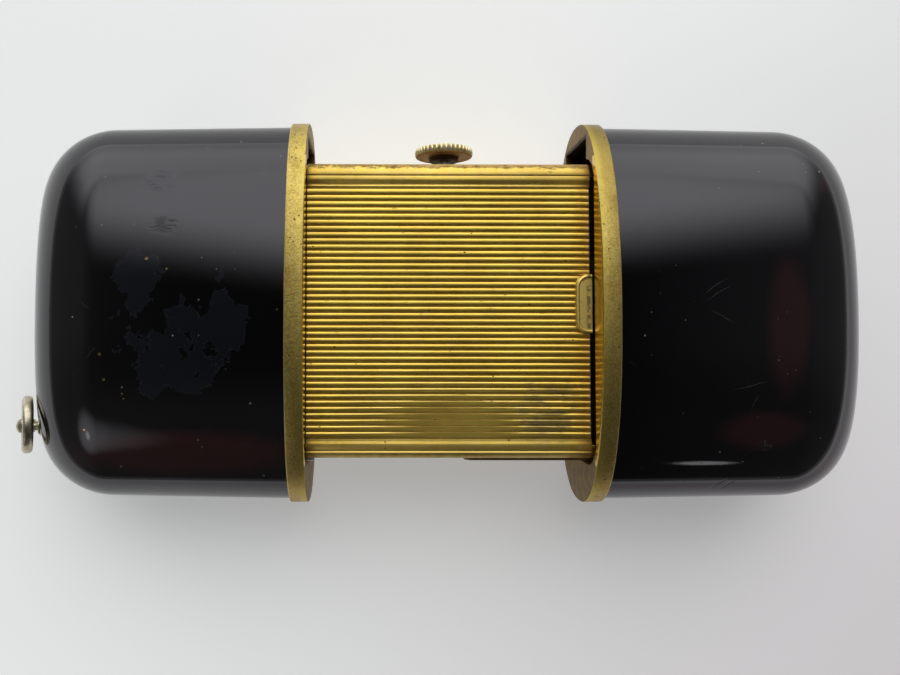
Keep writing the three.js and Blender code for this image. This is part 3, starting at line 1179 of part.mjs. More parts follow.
add('centre_wheel', centreWheel(), 'gilt');
add('minute_hand', hand(
  MINUTE_HAND_LENGTH, MINUTE_BOSS_RADIUS, MINUTE_HAND_WIDTH, MINUTE_HAND_Z, 0,
), 'blueSteel');
add('hour_wheel', hourWheel(), 'gilt');
add('hour_hand', hand(
  HOUR_HAND_LENGTH, HOUR_BOSS_RADIUS, HOUR_HAND_WIDTH, HOUR_HAND_Z, HOUR_PIPE_BORE,
), 'blueSteel');
add('minute_wheel', minuteWheel(), 'gilt');
add('third_wheel', trainWheel(
  THIRD, 45, THIRD_WHEEL_RADIUS, THIRD_WHEEL_Z, 6, CENTRE_WHEEL_Z + WHEEL_THICKNESS,
), 'gilt');
add('fourth_wheel', trainWheel(
  FOURTH, 42, FOURTH_WHEEL_RADIUS, FOURTH_WHEEL_Z, 6, THIRD_WHEEL_Z + WHEEL_THICKNESS,
), 'gilt');
add('escape_wheel', trainWheel(
  ESCAPE, 15, ESCAPE_WHEEL_RADIUS, ESCAPE_WHEEL_Z, 6, FOURTH_WHEEL_Z + WHEEL_THICKNESS,
), 'steel');
add('pallet_fork', palletFork(), 'steel');
add('balance_wheel', balanceWheel(), 'gilt');

export default watch;
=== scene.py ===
# %% [markdown]
# # A slide-open travel watch
# The watch lies on its dial side with its two black lacquered case halves slid apart. Between them
# lies the gilt watch unit with its ribbed stand flap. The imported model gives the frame: every piece
# below takes its place from a node of that frame, so nothing is fitted by eye.

import math

import bmesh
import bpy
from mathutils import Matrix, Vector


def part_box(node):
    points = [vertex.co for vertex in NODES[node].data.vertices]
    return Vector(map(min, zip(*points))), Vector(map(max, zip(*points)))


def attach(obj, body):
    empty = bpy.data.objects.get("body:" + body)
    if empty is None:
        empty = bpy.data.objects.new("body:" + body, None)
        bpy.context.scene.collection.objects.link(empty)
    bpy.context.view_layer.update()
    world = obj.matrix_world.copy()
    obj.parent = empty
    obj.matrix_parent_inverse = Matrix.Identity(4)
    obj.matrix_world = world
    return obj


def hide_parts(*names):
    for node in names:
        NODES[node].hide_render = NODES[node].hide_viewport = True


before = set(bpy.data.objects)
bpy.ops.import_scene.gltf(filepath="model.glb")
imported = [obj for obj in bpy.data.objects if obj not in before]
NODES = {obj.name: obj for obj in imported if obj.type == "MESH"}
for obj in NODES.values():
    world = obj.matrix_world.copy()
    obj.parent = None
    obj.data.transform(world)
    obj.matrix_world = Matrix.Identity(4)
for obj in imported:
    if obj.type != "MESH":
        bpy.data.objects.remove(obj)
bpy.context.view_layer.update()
MM = 0.001

# %% [markdown]
# Every piece needs two things first: a way into the scene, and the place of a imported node.


# %% Objects and places
def linked(name, data, material=None):
    """New object in the scene, with one finish if it is given."""
    obj = bpy.data.objects.new(name, data)
    bpy.context.scene.collection.objects.link(obj)
    if material:
        data.materials.clear()
        data.materials.append(material)
    return obj


def spans(node):
    """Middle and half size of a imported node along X, Y and Z, in millimetres."""
    low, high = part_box(node)
    return [((a + b) / 2 / MM, (b - a) / 2 / MM) for a, b in zip(low, high)]


print("unit, middle and half sizes in mm:", spans("unit_frame"))

# %% [markdown]
# ## Camera
# The photograph was taken from close above, so the sides of the cases lean outwards in it. A camera
# that looks nearly straight down gives that view. It tilts by two degrees, and a small lens shift
# moves the picture sideways the way the photograph is framed, without turning the view.

# %% Camera
PICTURE_WIDTH = 900
FOCAL_PIXELS = 784
AXIS_PIXEL_X = 379.4
AXIS_PIXEL_Y = 311.7
PICTURE_MIDDLE_X = 450
PICTURE_MIDDLE_Y = 337.5
SENSOR_WIDTH = 36
CAMERA_PLACE = Vector((-4.94, -2.54, 76.71)) * MM
CAMERA_TILT_X = 0.0372
CAMERA_TILT_Y = -0.0062
CAMERA_ROLL = 0.0014
FARTHEST_SEEN = 10

camera_data = bpy.data.cameras.new("camera")
camera_data.sensor_width = SENSOR_WIDTH
camera_data.lens = FOCAL_PIXELS / PICTURE_WIDTH * SENSOR_WIDTH
camera_data.shift_x = (PICTURE_MIDDLE_X - AXIS_PIXEL_X) / PICTURE_WIDTH
camera_data.shift_y = (AXIS_PIXEL_Y - PICTURE_MIDDLE_Y) / PICTURE_WIDTH
camera_data.clip_start = MM
camera_data.clip_end = FARTHEST_SEEN
camera = linked("camera", camera_data)
camera.location = CAMERA_PLACE
turn = Matrix.Rotation(CAMERA_ROLL, 3, "Z") @ Matrix.Rotation(CAMERA_TILT_Y, 3, "Y")
camera.rotation_euler = (turn @ Matrix.Rotation(CAMERA_TILT_X, 3, "X")).to_euler()
bpy.context.scene.camera = camera
bpy.context.scene.view_settings.view_transform = "Standard"
print("lens in mm:", round(camera_data.lens, 2))

# %% [markdown]
# ## Nodes
# Materials, the light and the repeated shapes are all trees of nodes. A small class adds nodes and
# joins them, so that each tree reads as a list of steps. Where the limits of a soft step have a name,
# the step is 0 up to the first and 1 from the second on. Two more values stand for this 0 and 1.


# %% Node helper
class Wires:
    """Adds nodes to one tree and joins them."""

    def __init__(self, tree):
        self.tree = tree

    def put(self, value, socket):
        if isinstance(value, bpy.types.Node):
            value = value.outputs[0]
        if isinstance(value, bpy.types.NodeSocket):
            self.tree.links.new(value, socket)
        elif socket.type == "RGBA":
            socket.default_value = (*value, 1)
        else:
            socket.default_value = value

    def add(self, kind, values=None, **settings):
        node = self.tree.nodes.new(kind)
        for key, value in settings.items():
            setattr(node, key, value)
        for socket, value in (values or {}).items():
            self.put(value, node.inputs[socket])
        return node

    def math(self, operation, first, second=0.0):
        return self.add("ShaderNodeMath", {0: first, 1: second}, operation=operation).outputs[0]

    def run(self, operation, values):
        """One result from many values, taken in one after another."""
        total = values[0]
        for value in values[1:]:
            total = self.math(operation, total, value)
        return total

    def plus(self, *values):
        return self.run("ADD", values)

    def times(self, *values):
        return self.run("MULTIPLY", values)

    def most(self, *values):
        return self.run("MAXIMUM", values)

    def minus(self, first, second):
        return self.math("SUBTRACT", first, second)

    def apart(self, value, middle):
        """How far a value is from a middle, on either side."""
        return self.math("ABSOLUTE", self.minus(value, middle))

    def shares(self, start, parts):
        """A start value plus every (mask, share) of a list."""
        return self.plus(start, *(self.times(mask, share) for mask, share in parts))

    def vector_math(self, operation, first, second=(0, 0, 0)):
        return self.add("ShaderNodeVectorMath", {0: first, 1: second}, operation=operation)

    def length(self, vector):
        return self.vector_math("LENGTH", vector).outputs["Value"]

    def split(self, vector):
        return self.add("ShaderNodeSeparateXYZ", {0: vector}).outputs

    def step(self, value, low, high, bottom=0.0, top=1.0):
        """Soft step: bottom up to low, top from high on. It falls where low is the larger one."""
        values = {0: value, 1: low, 2: high, 3: bottom, 4: top}
        return self.add("ShaderNodeMapRange", values, interpolation_type="SMOOTHSTEP").outputs[0]

    def step_mm(self, value, low, high, bottom=0.0, top=1.0):
        """Soft step of a place, with its limits in millimetres."""
        return self.step(value, low * MM, high * MM, bottom, top)

    def blend(self, share, first, second):
        node = self.add("ShaderNodeMix", data_type="RGBA")
        for socket, value in ((0, share), (6, first), (7, second)):
            self.put(value, node.inputs[socket])
        return node.outputs[2]

    def coats(self, colour, coats):
        """A colour under a list of coats, each a (mask, share, paint)."""
        for mask, share, paint in coats:
            colour = self.blend(self.times(mask, share), colour, paint)
        return colour

    def noise(self, place, scale, detail=3.0, rough=0.5):
        values = {"Vector": place, "Scale": scale, "Detail": detail, "Roughness": rough}
        return self.add("ShaderNodeTexNoise", values).outputs[0]

    def stretch(self, place, scale, centre=(0.0, 0.0, 0.0)):
        """Moves a pattern's middle to a place on the piece and stretches it."""
        back = [-c * s for c, s in zip(centre, scale)]
        values = {"Vector": place, "Location": back, "Scale": scale}
        return self.add("ShaderNodeMapping", values).outputs[0]

    def effect(self, tree, place, **sizes):
        """Mask of one shared effect."""
        return self.add("ShaderNodeGroup", {"Place": place, **sizes}, node_tree=tree).outputs["Mask"]


def plain_material(name):
    material = bpy.data.materials.new(name)
    material.use_nodes = True
    wires = Wires(material.node_tree)
    place = wires.add("ShaderNodeTexCoord").outputs["Object"]
    return material, wires, place, material.node_tree.nodes["Principled BSDF"].inputs


def dress(wires, shader, colour, rough, height, depth, most_rough=0.9, strength=0.8):
    """Gives a shader its colour, its roughness up to a limit, and bumps of a depth in millimetres."""
    wires.put(colour, shader["Base Color"])
    wires.put(wires.math("MINIMUM", rough, most_rough), shader["Roughness"])
    bump = wires.add("ShaderNodeBump", {"Height": height, "Distance": depth * MM, "Strength": strength})
    wires.put(bump, shader["Normal"])


print("node helpers ready")

# %% [markdown]
# ## Light
# Glossy black lacquer shows the room more than itself: a pale gradient on the side that faces the
# lamp, and near black elsewhere. A world shader that depends on direction gives that with soft
# edges, where a lamp would leave a hard outline in the lacquer. One round soft light stands on the
# crown's side, a pale wall glows behind it, and the rest of the room is dim. The lower edge of both
# rises towards the sides, so that the reflection ends on a slant. Two small lamps give the bright
# dots on the case's corners, and a halo softens one of them.

# %% World light
LIGHT_TINT = (0.985, 1.0, 1.0)
EDGE_LEAN = 0.5
SOFT_LIGHT = Vector((0.05, 0.60, 0.79))
SOFT_LIGHT_POWER = 2.0
SOFT_LIGHT_RIM = (0.74, 0.95)
SOFT_LIGHT_LOW_EDGE = (-0.02, 0.40)
WALL_POWER = 1.9
WALL_HALF_WIDTH = 0.72
WALL_SIDE_FADE = 0.33
WALL_TOP = (0.76, 0.50)
WALL_LOW_EDGE = (0.03, 0.41)
WALL_FOOT = (0.0, 0.30, 0.62, 1.0)
DIM_ROOM = 0.012
SIDE_ROOM = 0.15
SIDE_ROOM_START = (0.22, 0.65)
SIDE_ROOM_BACK = (-0.45, 0.0, 0.45, 1.0)
FRONT_ROOM = 0.065
FRONT_ROOM_START = (-0.15, -0.55)
FRONT_ROOM_RIGHT = (0.02, 0.32, 1.0, 0.25)
HORIZON_GLOW = 0.24
HORIZON = (0.10, 0.0)
ROUND_LAMPS = [
    (Vector((-0.50, -0.63, 0.60)), (0.968, 1.0), 0.85),
    (Vector((-0.50, -0.63, 0.60)), (0.9985, 0.9997), 1.6),
    (Vector((0.406, -0.835, 0.372)), (0.9992, 0.9999), 1.7),
]


def build_world():
    world = bpy.data.worlds.new("soft studio")
    world.use_nodes = True
    wires = Wires(world.node_tree)
    shader = world.node_tree.nodes["Background"].inputs
    direction = wires.add("ShaderNodeTexCoord").outputs["Generated"]
    x, y, z = wires.split(direction)
    aside = wires.math("ABSOLUTE", x)

    def lamp(place, rim):
        near = wires.vector_math("DOT_PRODUCT", direction, place.normalized()).outputs["Value"]
        return wires.step(near, *rim)

    lean = wires.minus(y, wires.times(aside, EDGE_LEAN))
    disc = wires.times(
        lamp(SOFT_LIGHT, SOFT_LIGHT_RIM), wires.step(lean, *SOFT_LIGHT_LOW_EDGE), SOFT_LIGHT_POWER
    )
    wall = wires.times(
        wires.step(z, *WALL_TOP),
        wires.step(lean, *WALL_LOW_EDGE),
        wires.step(aside, WALL_HALF_WIDTH + WALL_SIDE_FADE, WALL_HALF_WIDTH - WALL_SIDE_FADE),
        wires.step(z, *WALL_FOOT),
        WALL_POWER,
    )
    sides = wires.times(wires.step(aside, *SIDE_ROOM_START), wires.step(y, *SIDE_ROOM_BACK), SIDE_ROOM)
    front = wires.times(wires.step(y, *FRONT_ROOM_START), wires.step(x, *FRONT_ROOM_RIGHT), FRONT_ROOM)
    horizon = wires.times(wires.step(z, *HORIZON), HORIZON_GLOW)
    lamps = [wires.times(lamp(place, rim), power) for place, rim, power in ROUND_LAMPS]
    total = wires.plus(wires.most(disc, wall), sides, front, horizon, *lamps, DIM_ROOM)
    wires.put(total, shader["Strength"])
    wires.put(LIGHT_TINT, shader["Color"])
    bpy.context.scene.world = world


build_world()
print("world light built")

# %% [markdown]
# ## Floor
# The watch lies on a plain pale table. One large smooth sheet is enough, because the camera only
# sees the part near the watch. A part of its paleness is its own, shown only to the camera and to
# reflections, so that its shadows stay soft and no light is added to the watch.

# %% Floor
FLOOR_HALF = 1.2
FLOOR_COLOUR = (0.93, 0.935, 0.935)
FLOOR_PAINTED_SHADE_COLOUR = (0.64, 0.60, 0.62)
FLOOR_OWN_GLOW = 0.335
FLOOR_SLOPE = 0.8
FLOOR_SLOPE_STEP = (-0.01, 0.105)
FLOOR_REACH_STEP = (0.22, 0.08)
FLOOR_ROUGH = 0.6
FLOOR_SHINE = 0.2


def build_floor():
    material, wires, place, shader = plain_material("table paint")
    x, y, _ = wires.split(place)
    # Painted shade: near the watch, the floor colour darkens towards the right and the lower side.
    slope = wires.minus(x, wires.times(y, FLOOR_SLOPE))
    share = wires.times(
        wires.step(slope, *FLOOR_SLOPE_STEP), wires.step(wires.length(place), *FLOOR_REACH_STEP)
    )
    paint = wires.blend(share, FLOOR_COLOUR, FLOOR_PAINTED_SHADE_COLOUR)
    wires.put(paint, shader["Base Color"])
    wires.put(paint, shader["Emission Color"])
    rays = wires.add("ShaderNodeLightPath").outputs
    seen = wires.most(*(rays["Is " + kind + " Ray"] for kind in ("Camera", "Glossy", "Transmission")))
    wires.put(wires.times(seen, FLOOR_OWN_GLOW), shader["Emission Strength"])
    shader["Roughness"].default_value = FLOOR_ROUGH
    shader["Specular IOR Level"].default_value = FLOOR_SHINE
    mesh = bpy.data.meshes.new("table")
    corners = [(-1, -1), (1, -1), (1, 1), (-1, 1)]
    mesh.from_pydata([(x * FLOOR_HALF, y * FLOOR_HALF, 0) for x, y in corners], [], [(0, 1, 2, 3)])
    table = linked("table", mesh, material)


build_floor()
print("floor built")

# %% [markdown]
# ## Shared effects
# Wear, pits, scratches and dust turn up on several finishes, so each is a node group that is built
# once. A group puts out one mask, and every finish sets its own amounts.


# %% Group helper
def effect_group(name, **sizes):
    """Node group with a place and some sizes, and a mask as its result."""
    tree = bpy.data.node_groups.new(name, "ShaderNodeTree")
    tree.interface.new_socket("Place", in_out="INPUT", socket_type="NodeSocketVector")
    for label, value in sizes.items():
        socket = tree.interface.new_socket(label, in_out="INPUT", socket_type="NodeSocketFloat")
        socket.default_value = value
    tree.interface.new_socket("Mask", in_out="OUTPUT", socket_type="NodeSocketFloat")
    given = tree.nodes.new("NodeGroupInput").outputs
    return tree, Wires(tree), given, tree.nodes.new("NodeGroupOutput").inputs["Mask"]


print("group helper ready")

# %% [markdown]
# Four effects are enough for the whole watch. Cell patterns make round specks and the thin borders
# between cells make scratches, so both stay sharp at any size. A blot is a ball of soft shade with a
# noisy rim, and rubbing follows the `edge` value that every finished mesh stores.


# %% Specks, scratches, patches and worn edges
def build_specks():
    """Small round pits or grains of dust, of mixed sizes."""
    tree, wires, given, result = effect_group("specks", Scale=2000.0, Share=0.3, Size=0.3)
    cells = wires.add("ShaderNodeTexVoronoi", {"Vector": given["Place"], "Scale": given["Scale"]}).outputs
    pick = wires.add("ShaderNodeSeparateColor", {0: cells["Color"]}).outputs
    chosen = wires.math("LESS_THAN", pick[0], given["Share"])
    radius = wires.times(given["Size"], wires.plus(pick[1], 0.25))
    round_mask = wires.step(cells["Distance"], radius, wires.times(radius, 0.6))
    wires.put(wires.times(round_mask, chosen), result)
    return tree


def build_scratches():
    """Fine lines that run roughly one way and break off."""
    tree, wires, given, result = effect_group("scratches", Scale=300.0, Width=0.02, Share=0.4)
    bend = wires.add("ShaderNodeTexNoise", {"Vector": given["Place"], "Scale": 60.0, "Detail": 1.0})
    amount = {0: bend.outputs["Color"], "Scale": 0.004}
    sway = wires.add("ShaderNodeVectorMath", amount, operation="SCALE")
    moved = wires.vector_math("ADD", given["Place"], sway)
    cells = {"Vector": moved, "Scale": given["Scale"]}
    lines = wires.add("ShaderNodeTexVoronoi", cells, feature="DISTANCE_TO_EDGE").outputs["Distance"]
    thin = wires.step(lines, given["Width"], 0.0)
    broken = wires.noise(given["Place"], 420.0, 2.0)
    kept = wires.step(broken, wires.minus(1.0, given["Share"]), 0.8)
    wires.put(wires.times(thin, kept), result)
    return tree


def build_patch():
    """One soft blot with a ragged rim, placed on the piece."""
    tree, wires, given, result = effect_group("patch", Ragged=0.5, Scale=500.0, Edge=0.35)
    rim = wires.noise(given["Place"], given["Scale"], 5.0, 0.65)
    push = wires.times(wires.minus(rim, 0.5), given["Ragged"])
    total = wires.plus(wires.length(given["Place"]), push)
    wires.put(wires.step(total, 1.0, wires.minus(1.0, given["Edge"])), result)
    return tree


def build_edge_wear():
    """Rubbing along the piece's edges, broken up by noise."""
    tree, wires, given, result = effect_group("edge wear", Scale=900.0, Amount=0.5)
    edge = wires.add("ShaderNodeAttribute", attribute_name="edge").outputs["Fac"]
    uneven = wires.noise(given["Place"], given["Scale"], 4.0, 0.6)
    value = wires.times(edge, wires.plus(uneven, given["Amount"]))
    wires.put(wires.step(value, 0.35, 0.8), result)
    return tree


SPECKS = build_specks()
SCRATCHES = build_scratches()
PATCH = build_patch()
EDGE_WEAR = build_edge_wear()
print("effects:", [group.name for group in (SPECKS, SCRATCHES, PATCH, EDGE_WEAR)])

# %% [markdown]
# ## Black lacquer
# The case halves carry a glossy black lacquer that is clean in some places and hazy, rubbed and
# flecked in others. The gloss comes from a smooth near-black base, and each blemish is a patch
# with its own place on the case. Where the lacquer has chipped off, the brass below shows.

# %% Lacquer
HAZE_BLUE = (0.0070, 0.0080, 0.0114)
HAZE_RIM = (0.018, 0.020, 0.026)
LEFT_BLACK = (0.0030, 0.0026, 0.0030)
RIGHT_BLACK = (0.0009, 0.0007, 0.0011)
LEFT_RED_REFLECTION = (0.033, 0.0072, 0.0060)
RIGHT_RED_REFLECTION = (0.0230, 0.0052, 0.0060)
CHIP_GOLD = (0.46, 0.33, 0.13)
DUST_GREY = (0.34, 0.33, 0.32)
SCRATCH_GREY = (0.045, 0.045, 0.05)
LACQUER_GLOSS = 0.04
LACQUER_IOR = 1.58
LACQUER_TINT = (0.96, 0.93, 1.0)
HAZE_LEVEL = 0.465
BLOT_DEPTH = 30
CHIP_DEPTH = 9
ARC_MIDDLE_Z = 14
ARC_WIDTH = 0.03
ARC_CORE = 0.3
NICK_WIDTH = 0.07
HAZE_LOOK = (0.9, 1.6, 0.6)
RUB_LOOK = (0.7, 2.0, 0.7)
RED_REFLECTION_LOOK = (0.35, 1.6, 0.55)
CHIP_LOOK = (0.9, 1.7, 0.25)
ARC_LOOK = (0.3, 2.0, 0.8)
SLANT_STRETCH = (900.0, 4200.0, 300.0)


def patch_at(wires, place, centre, half, look):
    """Mask of one blot: centre and half sizes in millimetres, and how ragged, fine and soft it is."""
    ragged, scale, edge = look
    stretched = wires.stretch(place, [1 / (h * MM) for h in half], [c * MM for c in centre])
    return wires.effect(PATCH, stretched, Ragged=ragged, Scale=scale, Edge=edge)


def arc_at(wires, place, centre, radius, window, half, width=ARC_WIDTH):
    """Mask of a curved hairline: the part of a circle that lies inside one blot."""
    flat = wires.stretch(place, (1 / MM, 1 / MM, 0.0), (centre[0] * MM, centre[1] * MM, 0.0))
    off = wires.apart(wires.length(flat), radius)
    inside = patch_at(wires, place, (*window, ARC_MIDDLE_Z), (*half, BLOT_DEPTH), ARC_LOOK)
    return wires.times(wires.step(off, width, width * ARC_CORE), inside)


def lacquer(name, black, red_reflection_paint, hazes, rubs, chips, red_reflections, arcs, nicks):
    """Black lacquer with its blemishes and painted reflections, each given by its place and size in
    millimetres.
    """
    material, wires, place, shader = plain_material(name)

    def blots(spots, depth, look):
        return wires.most(0.0, *(patch_at(wires, place, c, (*h, depth), look) for c, h in spots))

    cloud = wires.noise(place, 260.0, 7.0, 0.62)
    fine = wires.noise(place, 2600.0, 3.0)
    zone = blots(hazes, BLOT_DEPTH, HAZE_LOOK)
    level = wires.plus(cloud, wires.times(wires.minus(zone, 1.0), 0.26))
    haze = wires.step(level, HAZE_LEVEL - 0.01, HAZE_LEVEL + 0.01)
    rim = wires.step(wires.apart(level, HAZE_LEVEL), 0.010, 0.0)
    rub = blots(rubs, BLOT_DEPTH, RUB_LOOK)
    # Painted reflection: soft dark red patches stand in for brown things mirrored in the lacquer.
    red_reflection = blots(red_reflections, BLOT_DEPTH, RED_REFLECTION_LOOK)
    chip = blots([(c, (r, r * 0.8)) for c, r in chips], CHIP_DEPTH, CHIP_LOOK)
    hair = wires.most(0.0, *(arc_at(wires, place, *arc) for arc in arcs))
    nick = wires.most(0.0, *(arc_at(wires, place, *arc, NICK_WIDTH) for arc in nicks))
    dust = wires.effect(SPECKS, place, Scale=1500.0, Share=0.26, Size=0.13)
    thin_dust = wires.times(dust, wires.step(cloud, 0.42, 0.60))
    lines = wires.effect(SCRATCHES, place, Scale=190.0, Width=0.012)
    slant = wires.noise(wires.stretch(place, SLANT_STRETCH), 1.0, 3.0, 0.6)
    rubbed = wires.times(rub, wires.step(slant, 0.42, 0.60))
    colour = wires.coats(black, [
        (haze, 1.0, HAZE_BLUE), (rim, 0.8, HAZE_RIM), (red_reflection, 0.8, red_reflection_paint),
        (thin_dust, 0.6, DUST_GREY), (rubbed, 0.5, HAZE_RIM), (hair, 0.8, SCRATCH_GREY),
        (lines, 0.35, SCRATCH_GREY), (chip, 1.0, CHIP_GOLD),
    ])
    rough = wires.shares(LACQUER_GLOSS, [
        (haze, 0.05), (rubbed, 0.42), (lines, 0.20), (hair, 0.3), (nick, 0.4), (thin_dust, 0.4),
        (wires.step(cloud, 0.5, 0.8), 0.05),
    ])
    height = wires.shares(0.0, [
        (cloud, 0.30), (fine, 0.03), (haze, 0.02), (lines, -0.06), (thin_dust, 0.22), (chip, -0.5),
        (nick, -1.6), (rubbed, -0.5),
    ])
    wires.put(wires.times(chip, 0.9), shader["Metallic"])
    shader["IOR"].default_value = LACQUER_IOR
    wires.put(LACQUER_TINT, shader["Specular Tint"])
    dress(wires, shader, colour, rough, height, 0.02, most_rough=0.6, strength=0.7)
    return material


LEFT_LACQUER = lacquer(
    "black lacquer left", LEFT_BLACK, LEFT_RED_REFLECTION,
    hazes=[
        ((-21.2, -2.6, 15), (7.4, 6.4)), ((-16.4, -0.2, 15), (3.4, 4.8)),
        ((-23.0, 2.6, 15), (3.6, 3.4)),
    ],
    rubs=[((-22.0, 10.3, 13), (1.9, 1.5)), ((-21.5, 6.6, 15), (1.7, 1.0))],
    chips=[
        ((-22.8, 3.9, 15), 0.15), ((-21.2, 3.1, 15), 0.10), ((-26.4, -3.6, 15), 0.13),
        ((-26.1, -5.6, 15), 0.12), ((-24.7, -6.2, 15), 0.09), ((-24.7, -6.7, 15), 0.08),
        ((-24.6, -7.1, 15), 0.07), ((-18.9, -10.4, 14), 0.08), ((-27.9, -9.6, 14), 0.12),
    ],
    red_reflections=[((-20.2, -11.5, 13), (11.6, 2.4))],
    arcs=[
        ((-24.0, -6.0), 4.0, (-27.3, -3.0), (0.9, 1.4)), ((-26.0, 2.0), 2.4, (-27.6, 0.2), (0.7, 0.8)),
    ],
    nicks=[],
)
RIGHT_LACQUER = lacquer(
    "black lacquer right", RIGHT_BLACK, RIGHT_RED_REFLECTION,
    hazes=[],
    rubs=[((26.4, -10.9, 14), (0.8, 0.5))],
    chips=[((26.2, -10.5, 14), 0.07), ((19.4, -8.2, 14), 0.05)],
    red_reflections=[
        ((27.6, -1.2, 14), (2.2, 6.6)), ((26.0, -9.6, 14), (4.4, 2.0)),
        ((31.6, 10.2, 14), (0.7, 1.0)), ((32.0, -12.6, 14), (1.2, 1.6)),
    ],
    arcs=[
        ((25.5, -3.6), 6.6, (21.6, 1.8), (1.9, 1.0)), ((25.6, -4.6), 6.9, (22.4, 1.2), (2.2, 1.0)),
        ((18.0, -8.0), 8.6, (22.2, -0.6), (2.6, 0.7)), ((22.0, 3.0), 9.4, (24.2, -6.1), (1.2, 0.6)),
        ((27.0, -12.0), 6.4, (25.0, -5.8), (1.3, 0.7)), ((29.5, -9.5), 5.0, (25.0, -7.3), (0.5, 1.1)),
    ],
    nicks=[
        ((25.1, -16.2), 2.69, (23.4, -14.4), (0.9, 0.9)),
        ((25.9, -16.3), 2.69, (24.0, -14.3), (0.8, 0.7)),
    ],
)
print("lacquers:", LEFT_LACQUER.name, RIGHT_LACQUER.name)

# %% [markdown]
# ## Metals
# Every metal here is old: satin brass with pits, worn gilding with dirt and painted shade in its low
# lines, pale gold, steel and nickel. One builder makes them all from a clean colour, a tarnished colour
# and the amounts of each effect, so that they age in the same way.


# %% Metal builder
def metal(
    name, clean, tarnish, rough, cloud_scale=500.0, pits=0.2, pit_scale=2600.0, pit_size=0.22,
    grain=None, wear=None, bump=0.012, tarnish_share=0.5, mottle=0.0, extra=None,
):
    """Metal with stains, pits, fine lines and grit, and worn edges and extra colouring, painted shade and
    sheen included, if they are given.
    """
    material, wires, place, shader = plain_material(name)
    cloud = wires.noise(place, cloud_scale, 6.0, 0.6)
    stain = wires.step(cloud, 0.62 - tarnish_share * 0.25, 0.78 - tarnish_share * 0.15)
    pit = wires.effect(SPECKS, place, Scale=pit_scale, Share=pits, Size=pit_size)
    line = wires.effect(SCRATCHES, place, Scale=700.0, Width=0.03, Share=0.2)
    grit = wires.step(wires.noise(place, 6800.0, 3.0, 0.6), 0.60, 0.42)
    dark = [c * 0.16 for c in tarnish]
    coats = [(stain, 1.0, tarnish), (pit, 0.85, dark), (grit, mottle, dark)]
    if wear:
        coats.append((wires.effect(EDGE_WEAR, place, Scale=1500.0, Amount=0.45), 0.7, wear))
    colour = wires.coats(clean, coats)
    rough = wires.shares(rough, [(stain, 0.10), (pit, 0.25), (line, 0.12)])
    if extra:
        colour, rough = extra(wires, place, colour, rough)
    heights = [(pit, -1.0), (grit, -mottle), (line, -0.4)]
    if grain:
        heights.append((wires.noise(wires.stretch(place, grain), 1.0, 3.0, 0.6), 1.2))
    shader["Metallic"].default_value = 1.0
    dress(wires, shader, colour, rough, wires.shares(wires.times(cloud, 0.3), heights), bump)
    return material


print("metal builder ready")

# %% [markdown]
# Two pieces carry colour of their own. The flat mouth faces have a brown patina, rubbed bright where
# the flap slides past, with painted shade and a painted sheen, and the inner back has black painted shade
# below the flap's free edge.

# %% Mouth faces and inner back
LEFT_MOUTH_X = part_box("left_mouth_band")[1].x
RIGHT_MOUTH_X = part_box("right_mouth_band")[0].x
MOUTH_MIDDLE_X = (LEFT_MOUTH_X + RIGHT_MOUTH_X) / 2 / MM
MOUTH_REACH = RIGHT_MOUTH_X / MM - MOUTH_MIDDLE_X
GAP_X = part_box("stand_flap")[1].x / MM
(CROWN_X, CROWN_RADIUS), _, (MID_Z, _) = spans("crown")
LOW_SHADE = (0.34, 0.18, 0.07)
HIGH_SHADE = (0.27, 0.19, 0.05)
INNER_RIM_SHEEN = (0.62, 0.50, 0.10)
PATINA_BROWN = (0.215, 0.138, 0.086)
RUBBED_GOLD = (0.72, 0.50, 0.13)
NOTCH_PAINTED_SHADE = (0.030, 0.018, 0.012)
GAP_PAINTED_SHADE = (0.012, 0.008, 0.005)
RUBBED_HALF_Y = 12.4
RUBBED_LOW_Z = 13.4
LOW_SHADE_Y = (-6.0, -15.0)
HIGH_SHADE_Y = (3.0, 14.0)
RIGHT_BAND_X = (2.0, 3.0)
NOTCH_FLOOR_Y = (12.5, 12.7)
NOTCH_ROOF_Y = (14.95, 14.75)
NOTCH_SIDE_Z = (3.6, 3.4)


